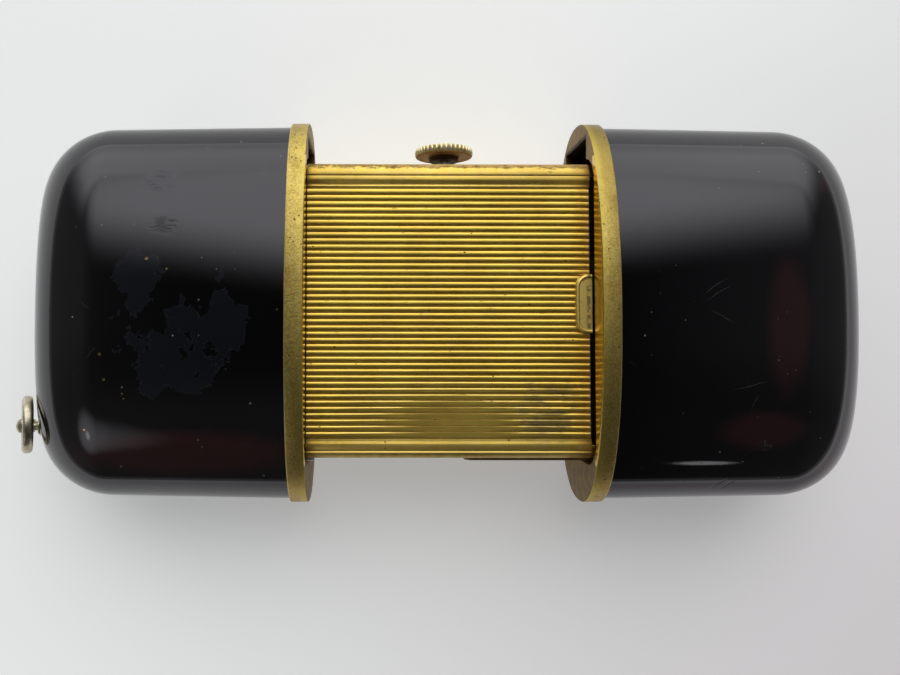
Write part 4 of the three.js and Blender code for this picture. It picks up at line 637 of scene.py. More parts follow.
def mouth_faces(wires, place, colour, rough):
    """Brown patina on the flat mouth faces, with painted shade along the bands, a painted sheen near the
    inner rim and painted shade in the crown's notch.
    """
    x, y, z = wires.split(place)
    reach = wires.apart(x, MOUTH_MIDDLE_X * MM)
    face = wires.step_mm(reach, MOUTH_REACH + 0.07, MOUTH_REACH + 0.03)
    near = wires.step_mm(wires.math("ABSOLUTE", y), RUBBED_HALF_Y + 0.3, RUBBED_HALF_Y)
    bright = wires.times(near, wires.step_mm(z, RUBBED_LOW_Z - 0.2, RUBBED_LOW_Z), face)
    brown = wires.minus(face, bright)
    # Painted shade: the bands darken towards the lower side, and the right band darkens towards its top.
    low = wires.step_mm(y, *LOW_SHADE_Y)
    right_top = wires.times(wires.step_mm(y, *HIGH_SHADE_Y), wires.step_mm(x, *RIGHT_BAND_X))
    # Painted sheen: a brighter, yellower zone towards the mouth face stands in for a bright bevel.
    inner = wires.step_mm(reach, MOUTH_REACH + 0.75, MOUTH_REACH + 0.15)
    mottled = wires.step(wires.noise(place, 1300.0, 5.0, 0.65), 0.35, 0.65, 0.65, 0.95)
    # Painted shade: the crown's notch in the band is painted near black.
    notch = wires.times(
        wires.step_mm(y, *NOTCH_FLOOR_Y), wires.step_mm(y, *NOTCH_ROOF_Y),
        wires.step_mm(wires.apart(z, MID_Z * MM), *NOTCH_SIDE_Z),
    )
    colour = wires.coats(colour, [
        (low, 0.30, LOW_SHADE), (right_top, 0.85, HIGH_SHADE), (inner, 0.35, INNER_RIM_SHEEN),
        (brown, mottled, PATINA_BROWN), (bright, 1.0, RUBBED_GOLD), (notch, 0.92, NOTCH_PAINTED_SHADE),
    ])
    return colour, wires.shares(rough, [(brown, 0.16), (bright, -0.26)])


def dirt_by_mouth(wires, place, colour, rough):
    """Black painted shade where the flap's free edge leaves a narrow gap to the mouth."""
    near = wires.step_mm(wires.split(place)[0], GAP_X - 0.5, GAP_X - 0.1)
    return wires.coats(colour, [(near, 0.96, GAP_PAINTED_SHADE)]), wires.shares(rough, [(near, 0.4)])


print("gap to the right mouth at x in mm:", round(GAP_X, 2))

# %% [markdown]
# The metals follow. Pieces of blued steel take the plain steel finish as well.

# %% The metals
GILT_LOOK = dict(
    clean=(0.62, 0.43, 0.095), tarnish=(0.46, 0.29, 0.055), rough=0.24, cloud_scale=600.0, pits=0.16,
    pit_scale=2500.0, pit_size=0.20, wear=(0.95, 0.76, 0.36), bump=0.010, tarnish_share=0.4,
)
BAND_BRASS = metal(
    "satin case brass", (0.56, 0.41, 0.106), (0.44, 0.305, 0.071), 0.40, cloud_scale=300.0, pits=0.36,
    pit_scale=3000.0, pit_size=0.28, wear=(0.86, 0.68, 0.33), bump=0.014, mottle=0.38, extra=mouth_faces,
)
ARM_BRASS = metal(
    "dull arm brass", (0.26, 0.16, 0.075), (0.14, 0.08, 0.04), 0.40, pits=0.3,
    wear=(0.45, 0.30, 0.14), bump=0.014, tarnish_share=0.8, mottle=0.3,
)
GILT = metal("worn gilt", **GILT_LOOK)
# The inner back gets black painted shade near the mouth gap.
INNER_GILT = metal("inner back gilt", **GILT_LOOK, extra=dirt_by_mouth)
# Painted shade: the brass inside the case is painted near black.
INSIDE_SHADE_BRASS = metal(
    "dark inside brass", (0.085, 0.052, 0.024), (0.035, 0.022, 0.012), 0.50, cloud_scale=300.0, pits=0.35,
    pit_scale=1500.0, pit_size=0.3, bump=0.02, tarnish_share=0.9,
)
PALE_GOLD = metal(
    "pale gold", (0.56, 0.50, 0.36), (0.34, 0.27, 0.15), 0.30, cloud_scale=900.0, pits=0.25,
    pit_scale=3500.0, wear=(0.85, 0.80, 0.64), bump=0.014, mottle=0.25,
)
STEEL = metal(
    "plain steel", (0.56, 0.55, 0.53), (0.36, 0.33, 0.29), 0.26, pits=0.1,
    grain=(9000.0, 300.0, 900.0), bump=0.008,
)
KNOB_STEEL = metal(
    "blackened steel", (0.16, 0.14, 0.12), (0.03, 0.025, 0.02), 0.25, cloud_scale=2600.0, pits=0.5,
    pit_scale=5000.0, wear=(0.7, 0.66, 0.58), bump=0.02, tarnish_share=0.9,
)
NICKEL = metal(
    "nickelled plate", (0.72, 0.68, 0.60), (0.55, 0.50, 0.42), 0.27, pits=0.05,
    grain=(260.0, 6000.0, 260.0), bump=0.008,
)
print("metals ready")

# %% [markdown]
# ## Dial enamel and crystal
# The dial side is not in the photograph. It gets a warm white enamel with faint mottling, and a
# clear crystal in front of it with a few hairline scratches.

# %% Enamel and glass
ENAMEL_WHITE = (0.80, 0.77, 0.68)
ENAMEL_CREAM = (0.72, 0.67, 0.55)
SPECK_BROWN = (0.12, 0.09, 0.05)
INK_BLACK = (0.012, 0.011, 0.010)
INK_FADED = (0.05, 0.045, 0.04)
GLASS_CLEAR = (0.97, 0.98, 0.97)
GLASS_DIM = (0.90, 0.91, 0.90)
GLASS_IOR = 1.5


def enamel():
    material, wires, place, shader = plain_material("dial enamel")
    cloud = wires.noise(place, 350.0, 5.0)
    speck = wires.effect(SPECKS, place, Scale=900.0, Share=0.12, Size=0.06)
    colour = wires.coats(ENAMEL_WHITE, [(cloud, 1.0, ENAMEL_CREAM), (speck, 0.7, SPECK_BROWN)])
    dress(wires, shader, colour, wires.step(cloud, 0.3, 0.8, 0.16, 0.30), cloud, 0.01, strength=1.0)
    return material


def ink():
    material, wires, place, shader = plain_material("dial paint")
    cloud = wires.noise(place, 2400.0, 4.0)
    wires.put(wires.blend(cloud, INK_BLACK, INK_FADED), shader["Base Color"])
    wires.put(wires.step(cloud, 0.3, 0.7, 0.35, 0.55), shader["Roughness"])
    return material


def glass():
    material, wires, place, shader = plain_material("crystal glass")
    lines = wires.effect(SCRATCHES, place, Scale=260.0, Width=0.01)
    wires.put(wires.blend(lines, GLASS_CLEAR, GLASS_DIM), shader["Base Color"])
    wires.put(wires.step(lines, 0.0, 1.0, 0.02, 0.25), shader["Roughness"])
    shader["Transmission Weight"].default_value = 1.0
    shader["IOR"].default_value = GLASS_IOR
    return material


ENAMEL = enamel()
INK = ink()
GLASS = glass()
print("dial finishes ready")

# %% [markdown]
# ## Making and finishing meshes
# The pieces are made from rings of points, from outlines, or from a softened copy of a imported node.
# Each ends the same way: faces outwards, smooth where it is round, an `edge` value for the wear
# effect, a body to ride on and a finish slot.

# %% Mesh helpers
SMOOTH_ANGLE = math.radians(32)
FULL_EDGE_TURN = 0.6
BEVEL_SEGMENTS = 2


def face_outwards(mesh):
    work = bmesh.new()
    work.from_mesh(mesh)
    bmesh.ops.remove_doubles(work, verts=work.verts, dist=0.0005 * MM)
    bmesh.ops.recalc_face_normals(work, faces=work.faces)
    work.to_mesh(mesh)
    work.free()


def closed_mesh(name, points, faces, placing=None):
    """Mesh whose faces look outwards, moved to its place first if that is given."""
    mesh = bpy.data.meshes.new(name)
    mesh.from_pydata([Vector(p) for p in points], [], faces)
    if placing:
        mesh.transform(placing)
    face_outwards(mesh)
    return mesh


def mark_edges(mesh):
    """Stores how sharply the surface turns outwards at each point, from 0 to 1."""
    work = bmesh.new()
    work.from_mesh(mesh)
    values = []
    for point in work.verts:
        turns = [e.calc_face_angle_signed(0) for e in point.link_edges if len(e.link_faces) == 2]
        values.append(min(1.0, max([0.0, *turns]) / FULL_EDGE_TURN))
    work.free()
    mesh.attributes.new("edge", "FLOAT", "POINT").data.foreach_set("value", values)


def plain_mesh(obj):
    """The mesh that an object comes to with its modifiers."""
    return bpy.data.meshes.new_from_object(obj.evaluated_get(bpy.context.evaluated_depsgraph_get()))


def turned_into_mesh(obj):
    """The plain mesh of an object that isn't needed any longer."""
    mesh = plain_mesh(obj)
    bpy.data.objects.remove(obj)
    return mesh


def applied(obj):
    """Turns an object and its modifiers into a plain mesh."""
    mesh = plain_mesh(obj)
    obj.modifiers.clear()
    obj.data = mesh


def bevelled(obj, width, angle):
    bevel = obj.modifiers.new("soft edges", "BEVEL")
    bevel.width = width * MM
    bevel.segments = BEVEL_SEGMENTS
    bevel.limit_method = "ANGLE"
    bevel.angle_limit = math.radians(angle)
    bevel.use_clamp_overlap = True
    applied(obj)


def cut_by(obj, tools):
    for mesh in tools:
        tool = linked("tool", mesh)
        step = obj.modifiers.new("cut", "BOOLEAN")
        step.operation = "DIFFERENCE"
        step.object = tool
        step.solver = "EXACT"
        applied(obj)
        bpy.data.objects.remove(tool)


def joined(name, meshes, material):
    """One object from several meshes, each kept as its own closed body."""
    work = bmesh.new()
    for mesh in meshes:
        work.from_mesh(mesh)
    total = bpy.data.meshes.new(name)
    work.to_mesh(total)
    work.free()
    return linked(name, total, material)


def finished(obj, body, replaced=(), angle=SMOOTH_ANGLE):
    obj.data.shade_smooth()
    obj.data.set_sharp_from_angle(angle=angle)
    mark_edges(obj.data)
    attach(obj, body)
    if replaced:
        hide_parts(*replaced)
    print(obj.name, len(obj.data.polygons), "faces on", body)


print("mesh helpers ready")

# %% [markdown]
# Four kinds of body come up again and again: a skin through rings, a bar with the same outline all
# along, a turned body, and a box.

# %% Body helpers
BAR_CHAMFER = 0.06
TOOTH_MIDDLE = 0.93
TOOTH_HALF = 0.07


def sides(count, start=0):
    """Four-sided faces between one ring of points and the next."""
    return [
        (start + i, start + (i + 1) % count, start + (i + 1) % count + count, start + i + count)
        for i in range(count)
    ]


def ring_skin(rings):
    """Closed skin through rings of equal count. Its two ends are closed by fans."""
    count = len(rings[0])
    last = (len(rings) - 1) * count
    points = [p for ring in rings for p in ring]
    faces = [face for start in range(0, last, count) for face in sides(count, start)]
    for start, flip in ((0, True), (last, False)):
        points.append(sum((Vector(p) for p in points[start:start + count]), Vector()) / count)
        for i in range(count):
            a, b = start + i, start + (i + 1) % count
            faces.append((b, a, len(points) - 1) if flip else (a, b, len(points) - 1))
    return points, faces


def bar_mesh(name, low_ring, high_ring):
    """Closed bar between two equal outlines in millimetres."""
    count = len(low_ring)
    points = [[v * MM for v in point] for point in (*low_ring, *high_ring)]
    faces = [tuple(range(count)), tuple(range(count, 2 * count)), *sides(count)]
    return closed_mesh(name, points, faces)


def turned(name, profile, middle, count=72, axis="Y", teeth=0):
    """Turned body about a line along X or Y, from (radius, place) pairs in millimetres."""
    rings = []
    for radius, along in profile:
        ring = []
        for i in range(count):
            turn = i / count * 2 * math.pi
            size = radius * (TOOTH_MIDDLE + TOOTH_HALF * math.cos(teeth * turn)) if teeth else radius
            a, b = middle[0] + size * math.cos(turn), middle[1] + size * math.sin(turn)
            ring.append(Vector((along, a, b) if axis == "X" else (a, along, b)) * MM)
        rings.append(ring)
    return closed_mesh(name, *ring_skin(rings))


def round_bar_y(radius, middle, low, high, count=32):
    ends = [
        (radius - BAR_CHAMFER, low), (radius, low + BAR_CHAMFER),
        (radius, high - BAR_CHAMFER), (radius - BAR_CHAMFER, high),
    ]
    return turned("bar", ends, middle, count)


def block_mesh(name, low, high):
    corners = [(x, y, z) for x in (low[0], high[0]) for y in (low[1], high[1]) for z in (low[2], high[2])]
    faces = [(0, 1, 3, 2), (4, 6, 7, 5), (0, 4, 5, 1), (2, 3, 7, 6), (0, 2, 6, 4), (1, 5, 7, 3)]
    return closed_mesh(name, [[v * MM for v in corner] for corner in corners], faces)


print("body helpers ready")

# %% [markdown]
# ## Case halves
# Each case half is an oval box with rounded ends, pressed from thin sheet and lacquered. A loft
# through many oval rings gives the long smooth curve that the lacquer's reflections need; the
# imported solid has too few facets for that. The hollow inside is made the same way, one wall inwards.

# %% Case half sizes
OVAL_POWER = 2.3
END_ROUND_WIDTH = 6.75
END_ROUND_DEPTH = 6.6
SHELL_TAPER = 0.25
SHELL_WALL = 0.5
END_WALL = 0.8
RING_POINTS = 144
ROUND_STEPS = 20
STRAIGHT_STEPS = 14
END_SHARES = (0.25, 0.55, 0.85)
CASE_SMOOTH_ANGLE = math.radians(50)


def oval_ring(x, half_y, half_z, mid_z):
    ring = []
    for i in range(RING_POINTS):
        turn = (i + 0.5) / RING_POINTS * 2 * math.pi
        c, s = math.cos(turn), math.sin(turn)
        y = math.copysign(half_y * abs(c) ** (2 / OVAL_POWER), c)
        z = math.copysign(half_z * abs(s) ** (2 / OVAL_POWER), s)
        ring.append(Vector((x, y * MM, mid_z + z * MM)))
    return ring


def case_rings(start, end, half_y, half_z, mid_z, width, depth, side):
    """Rings from the middle of the end wall to the mouth, in metres along X."""
    rings = []
    flat_y = half_y - SHELL_TAPER - width
    flat_z = half_z - SHELL_TAPER - depth
    for share in END_SHARES:
        rings.append(oval_ring(end, flat_y * share, flat_z * share, mid_z))
    round_start = end - side * width * MM
    for i in range(ROUND_STEPS, -1, -1):
        turn = i / ROUND_STEPS * math.pi / 2
        inset = 1 - math.cos(turn)
        x = round_start + side * width * math.sin(turn) * MM
        rings.append(oval_ring(
            x, half_y - SHELL_TAPER - width * inset, half_z - SHELL_TAPER - depth * inset, mid_z
        ))
    for i in range(STRAIGHT_STEPS - 1, -1, -1):
        share = i / STRAIGHT_STEPS
        x = start + (round_start - start) * share
        rings.append(oval_ring(x, half_y - SHELL_TAPER * share, half_z - SHELL_TAPER * share, mid_z))
    return rings


print("walls of side and end in mm:", SHELL_WALL, END_WALL)

# %% [markdown]
# One skin runs over the outside to the mouth and back along the inside, so each case half is closed
# and has a real wall. Faces that look inwards take the brass darkened with painted shade, the others the
# lacquer.


# %% Case halves
def build_case(side, node, body, material):
    low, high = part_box(node)
    start, end = (low.x, high.x) if side > 0 else (high.x, low.x)
    _, (_, half_y), (_, half_z) = spans(node)
    mid_z = (low.z + high.z) / 2
    outer = case_rings(start, end, half_y, half_z, mid_z, END_ROUND_WIDTH, END_ROUND_DEPTH, side)
    inner = case_rings(
        start, end - side * END_WALL * MM, half_y - SHELL_WALL, half_z - SHELL_WALL, mid_z,
        END_ROUND_WIDTH - END_WALL, END_ROUND_DEPTH - END_WALL, side,
    )
    mesh = closed_mesh(node + "_skin", *ring_skin(outer + inner[::-1]))
    obj = linked(node + "_skin", mesh, material)
    mesh.materials.append(INSIDE_SHADE_BRASS)
    inner_y = half_y - SHELL_WALL / 2
    inner_z = half_z - SHELL_WALL / 2
    for face in mesh.polygons:
        middle = face.center
        y = abs(middle.y) / MM / inner_y
        z = abs(middle.z - mid_z) / MM / inner_z
        towards = face.normal.y * middle.y + face.normal.z * (middle.z - mid_z)
        inwards = towards < 0 or side * face.normal.x < -0.5
        face.material_index = 1 if y ** OVAL_POWER + z ** OVAL_POWER < 1 and inwards else 0
    finished(obj, body, [node], CASE_SMOOTH_ANGLE)


build_case(-1, "left_shell", "left_half", LEFT_LACQUER)
build_case(1, "right_shell", "right_half", RIGHT_LACQUER)

# %% [markdown]
# ## Mouth bands
# A thick brass band closes each case half. It is one flat ring with an opening for the watch unit
# and a notch that lets the crown in. A filled curve with a hole makes such a ring, and its own bevel
# rounds all edges at once. It is turned into a mesh first and put in its place afterwards.

# %% Mouth bands
MOUTH_HALF_Y = 12.76
MOUTH_HALF_Z = 5.6
MOUTH_CORNER = 2.6
NOTCH_Y = 14.61
NOTCH_HALF_Z = 3.3
BAND_EDGE = 0.10
CORNER_STEPS = 10
ACROSS_X = Matrix(((0, 0, 1, 0), (1, 0, 0, 0), (0, 1, 0, 0), (0, 0, 0, 1)))


def mouth_outline():
    """The unit's opening as (Y, Z) pairs, with the crown's notch on the +Y side."""
    points = []
    notch_turn = math.asin((NOTCH_HALF_Z - MOUTH_HALF_Z + MOUTH_CORNER) / MOUTH_CORNER)
    corners = [
        (1, -1, -math.pi / 2, -notch_turn), (1, 1, notch_turn, math.pi / 2),
        (-1, 1, math.pi / 2, math.pi), (-1, -1, math.pi, 3 * math.pi / 2),
    ]
    for index, (side_y, side_z, first, last) in enumerate(corners):
        for i in range(CORNER_STEPS + 1):
            turn = first + (last - first) * i / CORNER_STEPS
            points.append((
                side_y * (MOUTH_HALF_Y - MOUTH_CORNER) + MOUTH_CORNER * math.cos(turn),
                side_z * (MOUTH_HALF_Z - MOUTH_CORNER) + MOUTH_CORNER * math.sin(turn),
            ))
        if index == 0:
            points += [(NOTCH_Y, -NOTCH_HALF_Z), (NOTCH_Y, NOTCH_HALF_Z)]
    return points


def add_path(curve, points, closed):
    """Adds one run of straight pieces to a curve, through points in millimetres."""
    spline = curve.splines.new("POLY")
    spline.points.add(len(points) - 1)
    for point, place in zip(spline.points, points):
        point.co = (*(v * MM for v in place), 1)
    spline.use_cyclic_u = closed


def flat_ring(name, outlines, thickness, edge):
    """Plate from closed outlines in millimetres, the first outside and the others holes."""
    curve = bpy.data.curves.new(name, "CURVE")
    curve.dimensions = "2D"
    curve.fill_mode = "BOTH"
    for outline in outlines:
        add_path(curve, [(a, b, 0) for a, b in outline], True)
    curve.extrude = (thickness / 2 - edge) * MM
    curve.bevel_depth = edge * MM
    curve.bevel_resolution = 2
    curve.offset = -edge * MM
    return turned_into_mesh(linked(name, curve))


def build_band(node, body):
    low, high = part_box(node)
    _, (_, half_y), (_, half_z) = spans(node)
    outside = [(p.y / MM, p.z / MM) for p in oval_ring(0, half_y, half_z, 0)]
    mesh = flat_ring(node + "_ring", [outside, mouth_outline()], (high.x - low.x) / MM, BAND_EDGE)
    mesh.transform(Matrix.Translation((low + high) / 2) @ ACROSS_X)
    face_outwards(mesh)
    finished(linked(node + "_ring", mesh, BAND_BRASS), body, [node])


build_band("left_mouth_band", "left_half")
build_band("right_mouth_band", "right_half")

# %% [markdown]
# ## Stand flap
# The gilt back of the unit is a hinged flap that doubles as a stand. Its long edges are bevelled, a
# bead runs inside each edge, and forty half-round ribs fill the field between them. The plate is one
# outline run along X; the ribs repeat, so Geometry Nodes lay them side by side.

# %% Flap sizes
FLAP_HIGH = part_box("stand_flap")[1]
UNIT_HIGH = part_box("unit_frame")[1]
(HINGE_X, _), _, (HINGE_Z, PIN_RADIUS) = spans("hinge_pin")
UNIT_HALF = UNIT_HIGH.y / MM
TAB_TOP = FLAP_HIGH.z / MM
BACK_Z = TAB_TOP - 0.35
FLAP_FRONT_Z = UNIT_HIGH.z / MM + 0.15
FLAP_RIGHT = FLAP_HIGH.x / MM
FLAP_EDGE = FLAP_RIGHT + 0.07
PLATE_LEFT = HINGE_X - 0.24
KNUCKLE_RADIUS = 0.53
KNUCKLE_HALF = 10.9
RIB_TOP_Y = 9.93
RIB_LOW_Y = -10.40
RIB_COUNT = 40
RIB_DEPTH = 0.17
RIB_FLOOR = BACK_Z - RIB_DEPTH
RIB_WEAR = 0.14
RIB_WORN_SPOT = 0.30
RIB_START_ROOM = 0.01
RIB_END_ROOM = 0.10
PLATE_EDGE = 0.02
SEAMS_Y = (11.05, -10.44, -11.40)

# Y, and how far the outline lies below the flap's back.
PLATE_DROPS = [
    (UNIT_HALF, 0.62), (UNIT_HALF - 0.14, 0.40), (UNIT_HALF - 0.34, 0.24), (11.46, 0.12), (11.12, 0.04),
    (11.08, 0.05), (11.05, 0.13), (11.02, 0.12), (10.98, 0.04), (10.72, 0.0), (10.58, 0.02), (10.44, 0.09),
    (10.34, 0.14), (10.20, 0.14), (10.15, 0.11), (10.09, 0.12), (10.00, RIB_DEPTH), (-10.43, RIB_DEPTH),
    (-10.47, 0.07), (-10.64, 0.08), (-10.68, 0.07), (-10.83, 0.01), (-10.90, 0.0), (-11.32, 0.045),
    (-11.35, 0.07), (-11.38, 0.17), (-11.42, 0.17), (-11.45, 0.14), (-11.57, 0.095), (-11.75, 0.17),
    (-11.94, 0.36), (-UNIT_HALF, 0.62),
]
FLAP_PROFILE = [
    (UNIT_HALF, FLAP_FRONT_Z),
    *((y, BACK_Z - drop) for y, drop in PLATE_DROPS),
    (-UNIT_HALF, FLAP_FRONT_Z),
]
print("hinge line at x, z in mm:", round(HINGE_X, 2), round(HINGE_Z, 2))

# %% [markdown]
# Three shapes repeat: the ribs, the crown's flutes and the dial's minute marks. Each is a Geometry
# Nodes tree that lays copies of one piece on points, makes them real and gives them their finish.


# %% Tree helpers
def size_tree(name, numbers, vectors):
    """Tree with named sizes, a count and a finish. It starts empty and puts out one mesh."""
    tree = bpy.data.node_groups.new(name, "GeometryNodeTree")
    groups = (
        ("Geometry", ["Geometry"]), ("Float", numbers), ("Int", ["Count"]), ("Vector", vectors),
        ("Material", ["Finish"]),
    )
    for kind, labels in groups:
        for label in labels:
            tree.interface.new_socket(label, in_out="INPUT", socket_type="NodeSocket" + kind)
    tree.interface.new_socket("Geometry", in_out="OUTPUT", socket_type="NodeSocketGeometry")
    return tree, Wires(tree), tree.nodes.new("NodeGroupInput").outputs


def made_real(wires, points, piece, **more):
    """Copies of a piece on points, made real."""
    copies = wires.add("GeometryNodeInstanceOnPoints", {"Points": points, "Instance": piece, **more})
    return wires.add("GeometryNodeRealizeInstances", {0: copies})


def ended(tree, wires, given, geometry):
    """Gives the finish and closes the tree."""
    coated = wires.add("GeometryNodeSetMaterial", {"Geometry": geometry, "Material": given["Finish"]})
    wires.put(coated, tree.nodes.new("NodeGroupOutput").inputs[0])
    print(tree.name, "nodes:", len(tree.nodes))
    return tree


def grown(name, tree, values):
    """Evaluates a tree with the given inputs and returns the plain mesh."""
    obj = linked(name, bpy.data.meshes.new(name))
    step = obj.modifiers.new("grow", "NODES")
    step.node_group = tree
    sockets = {s.name: s.identifier for s in tree.interface.items_tree if s.in_out == "INPUT"}
    for label, value in values.items():
        step[sockets[label]] = value
    return turned_into_mesh(obj)


print("tree helpers ready")

# %% [markdown]
# Each rib is a half circle swept along a straight line. Once the copies lie side by side, their
# height is set anew: fuller than a circle, capped at an uneven level as on worn metal, and lowest
# where the flap is rubbed flat.

# %% Rib nodes
RAIL_POINTS = 48
ARC_POINTS = 11
RIB_ROUNDNESS = 0.8


def rib_tree():
    """A row of half-round bars whose tops are worn down unevenly."""
    tree, wires, given = size_tree(
        "rib row",
        ("Length", "Pitch", "Depth", "Wear", "Worn Spot"),
        ("Start", "Worn Middle", "Worn Half"),
    )
    end = wires.add("ShaderNodeCombineXYZ", {0: given["Length"]})
    rail = wires.add("GeometryNodeCurvePrimitiveLine", {"End": end})
    fine = wires.add("GeometryNodeResampleCurve", {"Curve": rail, "Count": RAIL_POINTS})
    half = wires.times(given["Pitch"], 0.5)
    arc = wires.add("GeometryNodeCurveArc", {
        "Resolution": ARC_POINTS, "Radius": half, "Start Angle": math.pi, "Sweep Angle": math.pi,
    })
    closed = wires.add("GeometryNodeSetSplineCyclic", {"Geometry": arc, "Cyclic": True})
    sweep = {"Curve": fine, "Profile Curve": closed, "Fill Caps": True}
    bar = wires.add("GeometryNodeCurveToMesh", sweep)
    gap = wires.add("ShaderNodeCombineXYZ", {1: wires.times(given["Pitch"], -1.0)})
    row = {"Count": given["Count"], "Start Location": given["Start"], "Offset": gap}
    real = made_real(wires, wires.add("GeometryNodeMeshLine", row), bar)
    here = wires.add("GeometryNodeInputPosition").outputs[0]
    x, y, z = wires.split(here)
    base = wires.split(given["Start"])[2]
    rise = wires.math("DIVIDE", wires.apart(z, base), half)
    shaped = wires.times(wires.math("POWER", rise, RIB_ROUNDNESS), given["Depth"])
    off = wires.vector_math("SUBTRACT", here, given["Worn Middle"])
    reach = wires.length(wires.vector_math("DIVIDE", off, given["Worn Half"]))
    spot = wires.times(wires.step(reach, 1.1, 0.0), given["Worn Spot"])
    uneven = wires.times(wires.noise(here, 420.0, 3.0), given["Wear"])
    limit = wires.minus(wires.minus(1.0, uneven), spot)
    capped = wires.math("MINIMUM", shaped, wires.times(limit, given["Depth"]))
    place = wires.add("ShaderNodeCombineXYZ", {0: x, 1: y, 2: wires.plus(base, capped)})
    moved = wires.add("GeometryNodeSetPosition", {"Geometry": real, "Position": place})
    return ended(tree, wires, given, moved)


RIB_TREE = rib_tree()

# %% [markdown]
# ## Gilding of the flap
# The ribs are polished on top and hold dirt and painted shade between them. Towards the free edge the
# gilding is stained orange brown, the lower middle is rubbed flat and dull, and the upper bevel has worn
# through to brown along its outer edge. The lower bevel gets painted shade, and the tab a painted sheen.

# %% Flap finish
GILDING = (0.79, 0.55, 0.098)
GILDING_DEEP = (0.64, 0.43, 0.073)
GILDING_DULL = (0.50, 0.37, 0.095)
GILDING_WORN = (0.90, 0.70, 0.28)
GROOVE_DIRT_AND_SHADE = (0.10, 0.06, 0.018)
ORANGE_STAIN = (0.55, 0.29, 0.05)
LOW_EDGE_SHADE = (0.17, 0.11, 0.035)
BLOCK_BROWN = (0.11, 0.085, 0.05)
WORN_BROWN = (0.44, 0.26, 0.095)
CRACK_BROWN = (0.12, 0.065, 0.02)
TAB_SHEEN = (0.95, 0.76, 0.24)
GRIME_AND_SHADE = (0.035, 0.028, 0.02)
PIT_BROWN = (0.05, 0.03, 0.012)
WORN_SPOT = (1.6, -9.5, 13.0)
WORN_SPOT_HALF = (11.5, 5.0, 9.0)
WORN_SPOT_LOOK = (0.6, 1.6, 0.9)
DARK_BLOCKS = (9.2, -8.1, 13.0)
DARK_BLOCKS_HALF = (3.3, 3.2, 30.0)
DARK_BLOCKS_LOOK = (1.0, 2.2, 0.5)
ALONG_STRETCH = (330.0, 2000.0, 260.0)
JAGGED_STRETCH = (1300.0, 2600.0, 900.0)
LOW_EDGE_Y = (-11.5, -11.75)
WORN_RIGHT_X = (-6.0, 0.0, 0.55, 1.0)
TAB_LEFT = FLAP_RIGHT - 1.15
TAB_MARK_X = FLAP_RIGHT - 0.10


